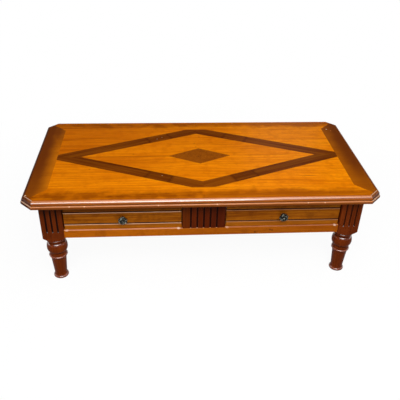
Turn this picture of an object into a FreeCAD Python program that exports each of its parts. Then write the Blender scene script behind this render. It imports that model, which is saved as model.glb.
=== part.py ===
import FreeCAD, Part
import math
import os

os.makedirs("parts", exist_ok=True)

# Low table with two drawers, a moulded inlaid top and turned legs.
# Millimetres. X runs along the table, Y from front to back, Z up, origin on the floor under the middle.

# Overall size
TABLE_LENGTH = 1308.0
TABLE_DEPTH = 658.0
TABLE_HEIGHT = 390.0
TOP_THICKNESS = 30.0
CORNER_CUT = 42.5
END_OVERHANG = 57.0
FRONT_OVERHANG = 38.0

# Edge moulding, from the top down, and the strip behind it
VENEER_THICKNESS = 1.0
OVOLO_RADIUS = 12.0
FILLET_HEIGHT = 2.5
COVE_RADIUS = 1.5
NOSE_RADIUS = 5.5
UNDERSIDE_RADIUS = 2.0
STRIP_WIDTH = 20.0

# Inlay of the top
BAND_WIDTH = 72.5
DIAMOND_END_MARGIN = 91.5
DIAMOND_SIDE_MARGIN = 41.5
DIAMOND_BAND_WIDTH = 55.0
LOZENGE_LENGTH = 250.0
LOZENGE_WIDTH = 128.0

# Posts and frame
POST_SIZE = 80.0
SHOULDER_ABOVE_RAIL = 0.5
FACE_SETBACK = 3.0
BOTTOM_RAIL_HEIGHT = 33.0
TOP_RAIL_HEIGHT = 17.0
RAIL_DEPTH = 45.0
DRAWER_OPENING_HEIGHT = 104.0
APRON_THICKNESS = 20.0
STILE_WIDTH = 160.0
STILE_THICKNESS = 22.0
ARRIS_RADIUS = 1.5

# Flutes
FLUTE_WIDTH = 6.4
POST_FLUTES = 3
POST_FLUTE_PITCH = 20.0
POST_FLUTE_RISE = 26.0
STILE_FLUTES = 5
STILE_FLUTE_PITCH = 24.3

# Turning of the legs, from the floor up: radii, heights, and how far each hollow or round bows
SOLE_RADIUS = 26.0
FOOT_RADIUS = 28.8
FOOT_TOP_RADIUS = 26.5
ANKLE_RADIUS = 23.7
SHAFT_TOP_RADIUS = 28.6
RIM_ROOT_RADIUS = 33.6
RIM_RADIUS = 35.0
COLLAR_RADIUS = 32.8
NICK_RADIUS = 31.5
BULB_RADIUS = 39.2
NECK_RADIUS = 29.0
RING_ROOT_RADIUS = 34.0
RING_RADIUS = 36.5
FOOT_WIDEST_HEIGHT = 4.0
FOOT_HEIGHT = 9.5
ANKLE_HEIGHT = 13.0
CAVETTO_HEIGHT = 14.0
RIM_HEIGHT = 3.5
FLARE_HEIGHT = 3.0
COLLAR_HEIGHT = 14.5
NICK_HEIGHT = 3.5
BULB_LOWER_HEIGHT = 15.5
BULB_UPPER_HEIGHT = 27.0
NECK_HEIGHT = 6.0
RING_HEIGHT = 10.0
SHOULDER_HEIGHT = 19.5
ANKLE_BOW = 1.2
CAVETTO_BOW = 1.9
RIM_BOW = 0.7
FLARE_BOW = 0.4
SHOULDER_BOW = 1.0

# Joints of the frame
TENON_LENGTH = 30.0
TENON_SHOULDER = 8.0
TENON_CLEARANCE = 0.2
APRON_TENON_THICKNESS = 8.0
APRON_TENON_HEIGHT = 45.0
APRON_TENON_MARGIN = 15.0
DOVETAIL_WAIST = 22.0
DOVETAIL_FLARE = 4.0
DOVETAIL_HEIGHT = 10.0
STILE_TENON_WIDTH = 100.0
STILE_TENON_LENGTH = 10.0

# Drawer runners, kickers and stops
RUNNER_LEDGE = 20.0
RUNNER_THICKNESS = 16.0
GUIDE_THICKNESS = 20.0
GUIDE_HEIGHT = 22.0
KICKER_WIDTH = 40.0
STOP_LENGTH = 30.0
STOP_HEIGHT = 8.0
STOP_SPACING = 240.0
STOP_CLEARANCE = 0.5

# Buttons and screws that hold the top
BUTTON_LENGTH = 40.0
BUTTON_REACH = 30.0
BUTTON_HEIGHT = 20.0
BUTTON_TONGUE = 6.0
BUTTON_TONGUE_HEIGHT = 7.0
BUTTON_SIDE_SPACING = 220.0
BUTTON_BACK_SPACING = 300.0
BUTTON_CLEARANCE = 0.3
SCREW_RADIUS = 2.0
SCREW_HEAD_RADIUS = 4.0
SCREW_HEAD_HEIGHT = 2.5
SCREW_LENGTH = 30.0
SCREW_CLEARANCE = 0.1
RAIL_SCREW_SPACING = 350.0

# Drawers
DRAWER_GAP = 1.0
DRAWER_SIDE_GAP = 3.0
DRAWER_RUNNING_CLEARANCE = 0.3
DRAWER_BACK_SPACE = 51.5
DRAWER_RECESS = 7.0
DRAWER_FRONT_THICKNESS = 20.0
DRAWER_SIDE_THICKNESS = 12.0
DRAWER_BACK_THICKNESS = 12.0
DRAWER_SIDE_DROP = 3.0
DRAWER_BOTTOM_THICKNESS = 5.0
DRAWER_BOTTOM_RISE = 12.0
PANEL_GROOVE_DEPTH = 5.0
PANEL_CLEARANCE = 0.2
FRONT_GROOVE_WIDTH = 6.0
FRONT_GROOVE_SPACING = 51.0
FRONT_PATTERN_DROP = 2.5
KNOB_DROP = 3.0
DRAWER_TAILS = 4
TAIL_WIDTH = 14.0
TAIL_LENGTH = 13.0
TAIL_SLOPE = 1.0 / 7.0
TAIL_END_MARGIN = 12.0

# Knobs
KNOB_RADIUS = 16.5
KNOB_REACH = 24.0
KNOB_BASE_RADIUS = 9.0
KNOB_BASE_HEIGHT = 2.5
KNOB_STEM_RADIUS = 6.0
KNOB_STEM_HEIGHT = 8.0
KNOB_RIM_HEIGHT = 3.0
KNOB_BOSS_RADIUS = 5.0
KNOB_BOSS_HEIGHT = 3.5
KNOB_PETALS = 8
KNOB_NOTCH_RADIUS = 3.0
KNOB_SCREW_RADIUS = 2.0
KNOB_SCREW_BITE = 9.0
KNOB_SCREW_HEAD_RADIUS = 4.5
KNOB_SCREW_HEAD_HEIGHT = 3.0
KNOB_SCREW_CLEARANCE = 0.1
KNOB_HOLE_CLEARANCE = 0.3

# Places worked out from the sizes above
EDGE_PROJECTION = OVOLO_RADIUS - COVE_RADIUS + NOSE_RADIUS
TOP_UNDERSIDE = TABLE_HEIGHT - TOP_THICKNESS
CORE_TOP = TABLE_HEIGHT - VENEER_THICKNESS
CORE_INSET = EDGE_PROJECTION + STRIP_WIDTH
POST_X = TABLE_LENGTH / 2 - END_OVERHANG
POST_Y = TABLE_DEPTH / 2 - FRONT_OVERHANG
POST_INNER_X = POST_X - POST_SIZE
POST_INNER_Y = POST_Y - POST_SIZE
LEG_AXIS_X = POST_X - POST_SIZE / 2
LEG_AXIS_Y = POST_Y - POST_SIZE / 2
FRONT_FACE_Y = -POST_Y + FACE_SETBACK
RAIL_BACK_Y = FRONT_FACE_Y + RAIL_DEPTH
BACK_FACE_Y = POST_Y - FACE_SETBACK
BACK_INNER_Y = BACK_FACE_Y - APRON_THICKNESS
SIDE_FACE_X = POST_X - FACE_SETBACK
SIDE_INNER_X = SIDE_FACE_X - APRON_THICKNESS
OPENING_TOP = TOP_UNDERSIDE - TOP_RAIL_HEIGHT
OPENING_BOTTOM = OPENING_TOP - DRAWER_OPENING_HEIGHT
FRAME_BOTTOM = OPENING_BOTTOM - BOTTOM_RAIL_HEIGHT
SHOULDER_TOP = FRAME_BOTTOM + SHOULDER_ABOVE_RAIL
STILE_EDGE = STILE_WIDTH / 2
DRAWER_MIDDLE_X = (STILE_EDGE + POST_INNER_X) / 2
DRAWER_FACE_Y = FRONT_FACE_Y + DRAWER_RECESS
DRAWER_FRONT_BACK_Y = DRAWER_FACE_Y + DRAWER_FRONT_THICKNESS
DRAWER_END_Y = BACK_INNER_Y - DRAWER_BACK_SPACE
FLUTE_RADIUS = FLUTE_WIDTH / 2

X_AXIS = FreeCAD.Vector(1, 0, 0)
Y_AXIS = FreeCAD.Vector(0, 1, 0)
Z_AXIS = FreeCAD.Vector(0, 0, 1)
ORIGIN = FreeCAD.Vector(0, 0, 0)


def box(low, high):
    """Block between two opposite corners, given in any order."""
    start = [min(a, b) for a, b in zip(low, high)]
    size = [abs(b - a) for a, b in zip(low, high)]
    return Part.makeBox(size[0], size[1], size[2], FreeCAD.Vector(*start))


def grown_box(low, high, gap):
    """Block between two corners with a gap added all round."""
    lows = [min(a, b) - gap for a, b in zip(low, high)]
    highs = [max(a, b) + gap for a, b in zip(low, high)]
    return box(lows, highs)


def prism(points, bottom, top):
    """Upright plate with the given outline in plan."""
    corners = [FreeCAD.Vector(x, y, bottom) for x, y in points]
    face = Part.Face(Part.makePolygon(corners + corners[:1]))
    return face.extrude(Z_AXIS * (top - bottom))


def line(start, end):
    return Part.LineSegment(start, end).toShape()


def arc(start, middle, end):
    return Part.Arc(start, middle, end).toShape()


def quarter(start, end, centre):
    """Quarter round from start to end about a centre."""
    half_way = (start + end) * 0.5 - centre
    half_way.normalize()
    return arc(start, centre + half_way * (start - centre).Length, end)


def mirrored(shape, normal):
    return shape.mirror(ORIGIN, normal)


def eased(block, direction, chosen):
    """Block with a small round on those of its edges along a direction whose middle is chosen."""
    edges = [edge for edge in block.Edges
             if round(abs(edge.tangentAt(edge.FirstParameter).dot(direction))) == 1
             and chosen(edge.CenterOfMass)]
    return block.makeFillet(ARRIS_RADIUS, edges)


def eased_face(block):
    """Block with a small round along every edge of its front face."""
    front = min(block.Faces, key=lambda face: face.CenterOfMass.y)
    return block.makeFillet(ARRIS_RADIUS, front.Edges)


def write(name, shape):
    shape.exportStep("parts/" + name + ".step")


def write_pair(left_name, right_name, right_shape):
    """Write a right-hand piece and its mirror image on the left."""
    write(right_name, right_shape)
    write(left_name, mirrored(right_shape, X_AXIS))


# The top: outline, edge mouldings, core and veneers

def outline(inset):
    """Eight corners of the top, moved inwards, starting at the front right and going round anticlockwise."""
    half_x = TABLE_LENGTH / 2 - inset
    half_y = TABLE_DEPTH / 2 - inset
    cut = CORNER_CUT - inset * (2 - math.sqrt(2))
    right = [(half_x - cut, -half_y), (half_x, cut - half_y), (half_x, half_y - cut), (half_x - cut, half_y)]
    left = [(-x, -y) for x, y in right]
    return right + left


def moulding_section(place):
    """Closed section of the edge moulding, with its inner back at the top's core."""
    strip_top = TOP_THICKNESS - VENEER_THICKNESS
    cove_out = OVOLO_RADIUS
    cove_in = OVOLO_RADIUS - COVE_RADIUS
    fillet_top = strip_top - OVOLO_RADIUS
    fillet_bottom = fillet_top - FILLET_HEIGHT
    nose_top = fillet_bottom - COVE_RADIUS
    nose_side = nose_top - NOSE_RADIUS
    back_bottom = place(-STRIP_WIDTH, 0)
    back_top = place(-STRIP_WIDTH, strip_top)
    arris = place(0, strip_top)
    ovolo_end = place(cove_out, fillet_top)
    cove_start = place(cove_out, fillet_bottom)
    quirk = place(cove_in, nose_top)
    nose_end = place(EDGE_PROJECTION, nose_side)
    underside_start = place(EDGE_PROJECTION, UNDERSIDE_RADIUS)
    underside_end = place(EDGE_PROJECTION - UNDERSIDE_RADIUS, 0)
    edges = [
        line(back_bottom, back_top),
        line(back_top, arris),
        quarter(arris, ovolo_end, place(0, fillet_top)),
        line(ovolo_end, cove_start),
        quarter(cove_start, quirk, place(cove_out, nose_top)),
        quarter(quirk, nose_end, place(cove_in, nose_side)),
        line(nose_end, underside_start),
        quarter(underside_start, underside_end, place(EDGE_PROJECTION - UNDERSIDE_RADIUS, UNDERSIDE_RADIUS)),
        line(underside_end, back_bottom),
    ]
    return Part.Face(Part.Wire(edges))


def edge_moulding(side):
    """One length of moulding, mitred where it meets its neighbours."""
    outer = outline(0)
    inner = outline(CORE_INSET)
    following = (side + 1) % len(outer)
    start = FreeCAD.Vector(*outer[side], TOP_UNDERSIDE)
    run = FreeCAD.Vector(*outer[following], TOP_UNDERSIDE) - start
    outward = run.cross(Z_AXIS)
    outward.normalize()

    def place(out, up):
        return start + outward * (out - EDGE_PROJECTION) + Z_AXIS * up

    stick = moulding_section(place).extrude(run)
    blank = prism([outer[side], outer[following], inner[following], inner[side]], TOP_UNDERSIDE, CORE_TOP)
    return blank.common(stick)


def top_core():
    core = prism(outline(CORE_INSET), TOP_UNDERSIDE, CORE_TOP)
    for place in screw_places():
        core = core.cut(screw(place, SCREW_CLEARANCE))
    return core


def field_corner():
    """Corner of the veneered field inside the bands."""
    return TABLE_LENGTH / 2 - EDGE_PROJECTION - BAND_WIDTH, TABLE_DEPTH / 2 - EDGE_PROJECTION - BAND_WIDTH


def diamond_tips():
    """Half length and half width of the field inside the large diamond."""
    field_x, field_y = field_corner()
    return field_x - DIAMOND_END_MARGIN, field_y - DIAMOND_SIDE_MARGIN


def diamond_clips():
    """Where the outer line of the diamond meets the end and the long side of the field."""
    field_x, field_y = field_corner()
    tip_x, tip_y = diamond_tips()
    reach = 1 + DIAMOND_BAND_WIDTH * math.hypot(1 / tip_x, 1 / tip_y)
    return tip_y * (reach - field_x / tip_x), tip_x * (reach - field_y / tip_y)


def veneer(points):
    return prism(points, CORE_TOP, TABLE_HEIGHT)


def write_bands():
    """Two end bands and two long bands, mitred at the corners of the field."""
    arris = outline(EDGE_PROJECTION)
    field_x, field_y = field_corner()
    mitre_x = (arris[0][0] + arris[1][0]) / 2
    mitre_y = (arris[0][1] + arris[1][1]) / 2
    end_band = veneer([(field_x, -field_y), (mitre_x, mitre_y), arris[1], arris[2],
                       (mitre_x, -mitre_y), (field_x, field_y)])
    long_band = veneer([(-field_x, -field_y), (-mitre_x, mitre_y), arris[7], arris[0],
                        (mitre_x, mitre_y), (field_x, -field_y)])
    write_pair("end_band_left", "end_band_right", end_band)
    write("long_band_front", long_band)
    write("long_band_back", mirrored(long_band, Y_AXIS))


def write_quarters(name, points):
    """Write one veneer of the front right quarter and its images in the other quarters."""
    front_right = veneer(points)
    back_right = mirrored(front_right, Y_AXIS)
    write_pair(name + "_front_left", name + "_front_right", front_right)
    write_pair(name + "_back_left", name + "_back_right", back_right)


def write_top():
    names = ["edge_corner_front_right", "edge_right", "edge_corner_back_right", "edge_back",
             "edge_corner_back_left", "edge_left", "edge_corner_front_left", "edge_front"]
    for side, name in enumerate(names):
        write(name, edge_moulding(side))
    write("top_core", top_core())
    write_bands()
    field_x, field_y = field_corner()
    tip_x, tip_y = diamond_tips()
    clip_y, clip_x = diamond_clips()
    half_length = LOZENGE_LENGTH / 2
    half_width = LOZENGE_WIDTH / 2
    write_quarters("diamond_band", [(tip_x, 0), (0, -tip_y), (0, -field_y), (clip_x, -field_y),
                                    (field_x, -clip_y), (field_x, 0)])
    write_quarters("corner_field", [(clip_x, -field_y), (field_x, -field_y), (field_x, -clip_y)])
    write_quarters("inner_field", [(half_length, 0), (0, -half_width), (0, -tip_y), (tip_x, 0)])
    write("centre_lozenge", veneer([(half_length, 0), (0, half_width), (-half_length, 0), (0, -half_width)]))


# Buttons and screws

def screw(place, gap):
    """Countersunk wood screw pointing up from its head, or its hole where a gap is given."""
    head = Part.makeCone(SCREW_HEAD_RADIUS + gap, SCREW_RADIUS + gap, SCREW_HEAD_HEIGHT, place)
    shank = Part.makeCylinder(SCREW_RADIUS + gap, SCREW_LENGTH + gap, place)
    return head.fuse(shank).removeSplitter()


def rail_screw_places():
    middle_y = (FRONT_FACE_Y + RAIL_BACK_Y) / 2
    return [FreeCAD.Vector(i * RAIL_SCREW_SPACING, middle_y, OPENING_TOP) for i in (-1, 0, 1)]


def button_places():
    """Place on the apron and direction into the table of each button."""
    side_y = BUTTON_SIDE_SPACING / 2
    back_x = BUTTON_BACK_SPACING / 2
    sides = [(FreeCAD.Vector(i * SIDE_INNER_X, j * side_y, 0), X_AXIS * -i)
             for i in (-1, 1) for j in (-1, 1)]
    backs = [(FreeCAD.Vector(i * back_x, BACK_INNER_Y, 0), Y_AXIS * -1) for i in (-1, 1)]
    return sides + backs


def button_screw_place(place, inward):
    return place + inward * (BUTTON_REACH / 2) + Z_AXIS * (TOP_UNDERSIDE - BUTTON_HEIGHT)


def screw_places():
    return rail_screw_places() + [button_screw_place(*spot) for spot in button_places()]


def button_block(place, inward, start, end, half_length, bottom, top):
    """Block that spans from start to end along the inward direction, centred on its place."""
    across = inward.cross(Z_AXIS)
    low = place + inward * start - across * half_length + Z_AXIS * bottom
    high = place + inward * end + across * half_length + Z_AXIS * top
    return box(low, high)


def button(place, inward):
    """Wooden button under the top, with its tongue in the apron's slot."""
    bottom = TOP_UNDERSIDE - BUTTON_HEIGHT
    half_length = BUTTON_LENGTH / 2
    block = button_block(place, inward, 0, BUTTON_REACH, half_length, bottom, TOP_UNDERSIDE)
    tongue_top = bottom + BUTTON_TONGUE_HEIGHT
    tongue = button_block(place, inward, -BUTTON_TONGUE, 0, half_length, bottom, tongue_top)
    hole = screw(button_screw_place(place, inward), SCREW_CLEARANCE)
    return block.fuse(tongue).removeSplitter().cut(hole)


def button_slot(place, inward):
    """Slot in the apron that takes a button's tongue."""
    bottom = TOP_UNDERSIDE - BUTTON_HEIGHT
    gap = BUTTON_CLEARANCE
    return button_block(place, inward, -BUTTON_TONGUE - gap, gap, BUTTON_LENGTH / 2 + gap,
                        bottom - gap, bottom + BUTTON_TONGUE_HEIGHT + gap)


def write_fixings():
    write("top_buttons", Part.makeCompound([button(*spot) for spot in button_places()]))
    write("top_screws", Part.makeCompound([screw(place, 0) for place in screw_places()]))


# Legs

def at(radius, height):
    """Point of a turning, by its radius and height."""
    return FreeCAD.Vector(radius, 0, height)


def bowed(lower, upper, bow):
    """Arc between two points of a turning, bowed outwards, or inwards where the bow is negative."""
    chord = upper - lower
    out = Y_AXIS.cross(chord) * (1 / chord.Length)
    return arc(lower, (lower + upper) * 0.5 + out * bow, upper)


def swell(widest, end):
    """Quarter of an ellipse from the widest point of a swelling, where it runs upright, to its level end."""
    centre = at(end.x, widest.z)
    far, near = end, widest
    if (end - centre).Length < (widest - centre).Length:
        far, near = widest, end
    return Part.ArcOfEllipse(Part.Ellipse(far, near, centre), 0, math.pi / 2).toShape()


def turning_section():
    """Half section of a leg's turning, with a broad top that leaves the square post whole."""
    post_corner = POST_SIZE * math.sqrt(0.5)
    ring_top = SHOULDER_TOP - SHOULDER_HEIGHT
    ring_bottom = ring_top - RING_HEIGHT
    neck_bottom = ring_bottom - NECK_HEIGHT
    bulb_middle = neck_bottom - BULB_UPPER_HEIGHT
    bulb_bottom = bulb_middle - BULB_LOWER_HEIGHT
    nick_bottom = bulb_bottom - NICK_HEIGHT
    collar_bottom = nick_bottom - COLLAR_HEIGHT
    rim_top = collar_bottom - FLARE_HEIGHT
    rim_bottom = rim_top - RIM_HEIGHT
    shaft_top = rim_bottom - CAVETTO_HEIGHT
    floor = at(0, 0)
    sole = at(SOLE_RADIUS, 0)
    foot_side = at(FOOT_RADIUS, FOOT_WIDEST_HEIGHT)
    foot_top = at(FOOT_TOP_RADIUS, FOOT_HEIGHT)
    ankle = at(ANKLE_RADIUS, FOOT_HEIGHT + ANKLE_HEIGHT)
    shaft_end = at(SHAFT_TOP_RADIUS, shaft_top)
    rim_low = at(RIM_ROOT_RADIUS, rim_bottom)
    rim_high = at(RIM_RADIUS, rim_top)
    collar_low = at(COLLAR_RADIUS, collar_bottom)
    collar_top = at(NICK_RADIUS, nick_bottom)
    nick_top = at(NICK_RADIUS, bulb_bottom)
    bulb_side = at(BULB_RADIUS, bulb_middle)
    bulb_top = at(NECK_RADIUS, neck_bottom)
    neck_top = at(NECK_RADIUS, ring_bottom)
    ring_low = at(RING_ROOT_RADIUS, ring_bottom)
    ring_side = at(RING_RADIUS, (ring_bottom + ring_top) / 2)
    ring_high = at(RING_ROOT_RADIUS, ring_top)
    shoulder = at(post_corner, SHOULDER_TOP)
    post_top = at(post_corner, TOP_UNDERSIDE)
    axis_top = at(0, TOP_UNDERSIDE)
    edges = [
        line(floor, sole),
        arc(sole, foot_side, foot_top),
        bowed(foot_top, ankle, -ANKLE_BOW),
        line(ankle, shaft_end),
        bowed(shaft_end, rim_low, -CAVETTO_BOW),
        bowed(rim_low, rim_high, RIM_BOW),
        bowed(rim_high, collar_low, -FLARE_BOW),
        line(collar_low, collar_top),
        line(collar_top, nick_top),
        swell(bulb_side, nick_top),
        swell(bulb_side, bulb_top),
        line(bulb_top, neck_top),
        line(neck_top, ring_low),
        arc(ring_low, ring_side, ring_high),
        bowed(ring_high, shoulder, SHOULDER_BOW),
        line(shoulder, post_top),
        line(post_top, axis_top),
        line(axis_top, floor),
    ]
    return Part.Face(Part.Wire(Part.sortEdges(edges)[0]))


def flute(place, bottom, top):
    """Round-bottomed flute with a ball-shaped lower end."""
    centre = place + Z_AXIS * (bottom + FLUTE_RADIUS)
    channel = Part.makeCylinder(FLUTE_RADIUS, top - centre.z, centre)
    return channel.fuse(Part.makeSphere(FLUTE_RADIUS, centre)).removeSplitter()


def post_flutes():
    """Flutes on the two outward faces of the front right post."""
    bottom = FRAME_BOTTOM + POST_FLUTE_RISE
    steps = [i - (POST_FLUTES - 1) / 2 for i in range(POST_FLUTES)]
    fronts = [FreeCAD.Vector(LEG_AXIS_X + step * POST_FLUTE_PITCH, -POST_Y, 0) for step in steps]
    ends = [FreeCAD.Vector(POST_X, -LEG_AXIS_Y + step * POST_FLUTE_PITCH, 0) for step in steps]
    return [flute(place, bottom, TOP_UNDERSIDE) for place in fronts + ends]


def leg(cuts):
    """Front right leg, turned from a square post, with its flutes and the given joints cut."""
    turning = turning_section().revolve(ORIGIN, Z_AXIS, 360)
    turning.translate(FreeCAD.Vector(LEG_AXIS_X, -LEG_AXIS_Y, 0))
    post = box((POST_INNER_X, -POST_INNER_Y, 0), (POST_X, -POST_Y, TOP_UNDERSIDE))
    shape = eased(post, Z_AXIS, lambda middle: True).common(turning)
    for cut in post_flutes() + cuts:
        shape = shape.cut(cut)
    return shape


def write_legs():
    side_mortises = side_tenons(-POST_INNER_Y, -1, TENON_CLEARANCE)
    front_joints = [bottom_rail_tenon(TENON_CLEARANCE), top_rail_dovetail(TENON_CLEARANCE)]
    back_joints = [mirrored(tenon, Y_AXIS) for tenon in back_tenons(TENON_CLEARANCE)]
    write_pair("leg_front_left", "leg_front_right", leg(front_joints + side_mortises))
    back_leg = leg(back_joints + side_mortises)
    write_pair("leg_back_left", "leg_back_right", mirrored(back_leg, Y_AXIS))


# Rails, aprons and stile

def bottom_rail_tenon(gap):
    """Tenon at the right end of the bottom rail, or its mortise where a gap is given."""
    low = (POST_INNER_X, FRONT_FACE_Y + TENON_SHOULDER, FRAME_BOTTOM + TENON_SHOULDER)
    high = (POST_INNER_X + TENON_LENGTH, RAIL_BACK_Y - TENON_SHOULDER, OPENING_BOTTOM - TENON_SHOULDER)
    return grown_box(low, high, gap)


def top_rail_dovetail(gap):
    """Dovetail at the right end of the top rail, let into the top of the leg."""
    middle = (FRONT_FACE_Y + RAIL_BACK_Y) / 2
    waist = DOVETAIL_WAIST / 2 + gap
    tip = waist + DOVETAIL_FLARE
    end = POST_INNER_X + TENON_LENGTH + gap
    points = [(POST_INNER_X, middle - waist), (end, middle - tip),
              (end, middle + tip), (POST_INNER_X, middle + waist)]
    return prism(points, TOP_UNDERSIDE - DOVETAIL_HEIGHT - gap, TOP_UNDERSIDE)


def tenon_heights():
    """Lower and upper tenon of an apron, as heights of bottom and top."""
    lower = FRAME_BOTTOM + APRON_TENON_MARGIN
    upper = TOP_UNDERSIDE - APRON_TENON_MARGIN
    return [(lower, lower + APRON_TENON_HEIGHT), (upper - APRON_TENON_HEIGHT, upper)]


def back_tenons(gap):
    """Tenons at the right end of the back apron."""
    near = BACK_INNER_Y + (APRON_THICKNESS - APRON_TENON_THICKNESS) / 2
    far = near + APRON_TENON_THICKNESS
    end = POST_INNER_X + TENON_LENGTH
    return [grown_box((POST_INNER_X, near, low), (end, far, high), gap) for low, high in tenon_heights()]


def side_tenons(start, direction, gap):
    """Tenons at one end of the right side apron."""
    near = SIDE_INNER_X + (APRON_THICKNESS - APRON_TENON_THICKNESS) / 2
    far = near + APRON_TENON_THICKNESS
    end = start + direction * TENON_LENGTH
    return [grown_box((near, start, low), (far, end, high), gap) for low, high in tenon_heights()]


def stile_tenon(direction, gap):
    """Tenon at the lower or upper end of the stile."""
    start = OPENING_TOP if direction > 0 else OPENING_BOTTOM
    near = FRONT_FACE_Y + TENON_SHOULDER
    far = FRONT_FACE_Y + STILE_THICKNESS - TENON_SHOULDER
    low = (-STILE_TENON_WIDTH / 2, near, start)
    high = (STILE_TENON_WIDTH / 2, far, start + direction * STILE_TENON_LENGTH)
    return grown_box(low, high, gap)


def fused_with(shape, additions):
    return shape.fuse(additions).removeSplitter()


def both_ends(shapes, normal):
    return shapes + [mirrored(shape, normal) for shape in shapes]


def front_bottom_rail():
    middle_y = (FRONT_FACE_Y + RAIL_BACK_Y) / 2
    middle_z = (FRAME_BOTTOM + OPENING_BOTTOM) / 2
    rail = box((-POST_INNER_X, FRONT_FACE_Y, FRAME_BOTTOM), (POST_INNER_X, RAIL_BACK_Y, OPENING_BOTTOM))
    rail = eased(rail, X_AXIS, lambda middle: middle.y < middle_y or middle.z < middle_z)
    rail = fused_with(rail, both_ends([bottom_rail_tenon(0)], X_AXIS))
    return rail.cut(stile_tenon(-1, TENON_CLEARANCE))


def front_top_rail():
    rail = box((-POST_INNER_X, FRONT_FACE_Y, OPENING_TOP), (POST_INNER_X, RAIL_BACK_Y, TOP_UNDERSIDE))
    rail = fused_with(rail, both_ends([top_rail_dovetail(0)], X_AXIS))
    rail = rail.cut(stile_tenon(1, TENON_CLEARANCE))
    for place in rail_screw_places():
        rail = rail.cut(screw(place, SCREW_CLEARANCE))
    return rail


def centre_stile():
    stile = box((-STILE_EDGE, FRONT_FACE_Y, OPENING_BOTTOM),
                (STILE_EDGE, FRONT_FACE_Y + STILE_THICKNESS, OPENING_TOP))
    stile = eased(stile, Z_AXIS, lambda middle: middle.y < FRONT_FACE_Y + STILE_THICKNESS / 2)
    stile = fused_with(stile, [stile_tenon(-1, 0), stile_tenon(1, 0)])
    for i in range(STILE_FLUTES):
        x = (i - (STILE_FLUTES - 1) / 2) * STILE_FLUTE_PITCH
        foot = FreeCAD.Vector(x, FRONT_FACE_Y, OPENING_BOTTOM)
        stile = stile.cut(Part.makeCylinder(FLUTE_RADIUS, DRAWER_OPENING_HEIGHT, foot))
    return stile


def back_apron():
    apron = box((-POST_INNER_X, BACK_INNER_Y, FRAME_BOTTOM), (POST_INNER_X, BACK_FACE_Y, TOP_UNDERSIDE))
    apron = eased(apron, X_AXIS, lambda middle: middle.z < OPENING_BOTTOM)
    apron = fused_with(apron, both_ends(back_tenons(0), X_AXIS))
    for place, inward in button_places():
        apron = apron.cut(button_slot(place, inward))
    return apron


def side_apron():
    """Apron on the right."""
    apron = box((SIDE_INNER_X, -POST_INNER_Y, FRAME_BOTTOM), (SIDE_FACE_X, POST_INNER_Y, TOP_UNDERSIDE))
    apron = eased(apron, Y_AXIS, lambda middle: middle.z < OPENING_BOTTOM)
    apron = fused_with(apron, both_ends(side_tenons(-POST_INNER_Y, -1, 0), Y_AXIS))
    for place, inward in button_places():
        apron = apron.cut(button_slot(place, inward))
    return apron


def write_frame():
    write("front_bottom_rail", front_bottom_rail())
    write("front_top_rail", front_top_rail())
    write("centre_stile", centre_stile())
    write("back_apron", back_apron())
    write_pair("side_apron_left", "side_apron_right", side_apron())


# What carries and stops the drawers

def runner(guide_face, direction, guide_start, guide_end):
    """Runner of the right drawer: a ledge under the drawer's side, with a guide beside it."""
    bottom = OPENING_BOTTOM - RUNNER_THICKNESS
    ledge = box((guide_face, RAIL_BACK_Y, bottom),
                (guide_face + direction * RUNNER_LEDGE, BACK_INNER_Y, OPENING_BOTTOM))
    guide = box((guide_face, guide_start, bottom),
                (guide_face - direction * GUIDE_THICKNESS, guide_end, OPENING_BOTTOM + GUIDE_HEIGHT))
    return fused_with(ledge, [guide])


def kicker():
    half = KICKER_WIDTH / 2
    return box((DRAWER_MIDDLE_X - half, RAIL_BACK_Y, OPENING_TOP),
               (DRAWER_MIDDLE_X + half, BACK_INNER_Y, TOP_UNDERSIDE))


def drawer_stops():
    """Small blocks on the bottom rail, close behind the drawer fronts."""
    half = STOP_LENGTH / 2
    stops = []
    for drawer in (-1, 1):
        for end in (-1, 1):
            x = drawer * DRAWER_MIDDLE_X + end * STOP_SPACING / 2
            low = (x - half, DRAWER_FRONT_BACK_Y + STOP_CLEARANCE, OPENING_BOTTOM)
            stops.append(box(low, (x + half, RAIL_BACK_Y, OPENING_BOTTOM + STOP_HEIGHT)))
    return Part.makeCompound(stops)


def write_drawer_supports():
    inner = runner(STILE_EDGE, 1, RAIL_BACK_Y, BACK_INNER_Y)
    outer = runner(POST_INNER_X, -1, -POST_INNER_Y, POST_INNER_Y)
    write_pair("runner_left_inner", "runner_right_inner", inner)
    write_pair("runner_left_outer", "runner_right_outer", outer)
    write_pair("kicker_left", "kicker_right", kicker())
    write("drawer_stops", drawer_stops())


# Drawers, modelled on the right

DRAWER_LOW_X = STILE_EDGE + DRAWER_SIDE_GAP
DRAWER_HIGH_X = POST_INNER_X - DRAWER_SIDE_GAP
DRAWER_SIDE_BOTTOM = OPENING_BOTTOM + DRAWER_RUNNING_CLEARANCE
DRAWER_FRONT_BOTTOM = OPENING_BOTTOM + DRAWER_GAP
DRAWER_FRONT_TOP = OPENING_TOP - DRAWER_GAP
DRAWER_SIDE_TOP = DRAWER_FRONT_TOP - DRAWER_SIDE_DROP
PANEL_BOTTOM = DRAWER_SIDE_BOTTOM + DRAWER_BOTTOM_RISE
PANEL_TOP = PANEL_BOTTOM + DRAWER_BOTTOM_THICKNESS
DRAWER_BACK_BOTTOM = PANEL_TOP + PANEL_CLEARANCE
DRAWER_BACK_Y = DRAWER_END_Y - DRAWER_BACK_THICKNESS
PATTERN_HEIGHT = (DRAWER_FRONT_BOTTOM + DRAWER_FRONT_TOP) / 2 - FRONT_PATTERN_DROP
KNOB_HEIGHT = PATTERN_HEIGHT - KNOB_DROP


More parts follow.
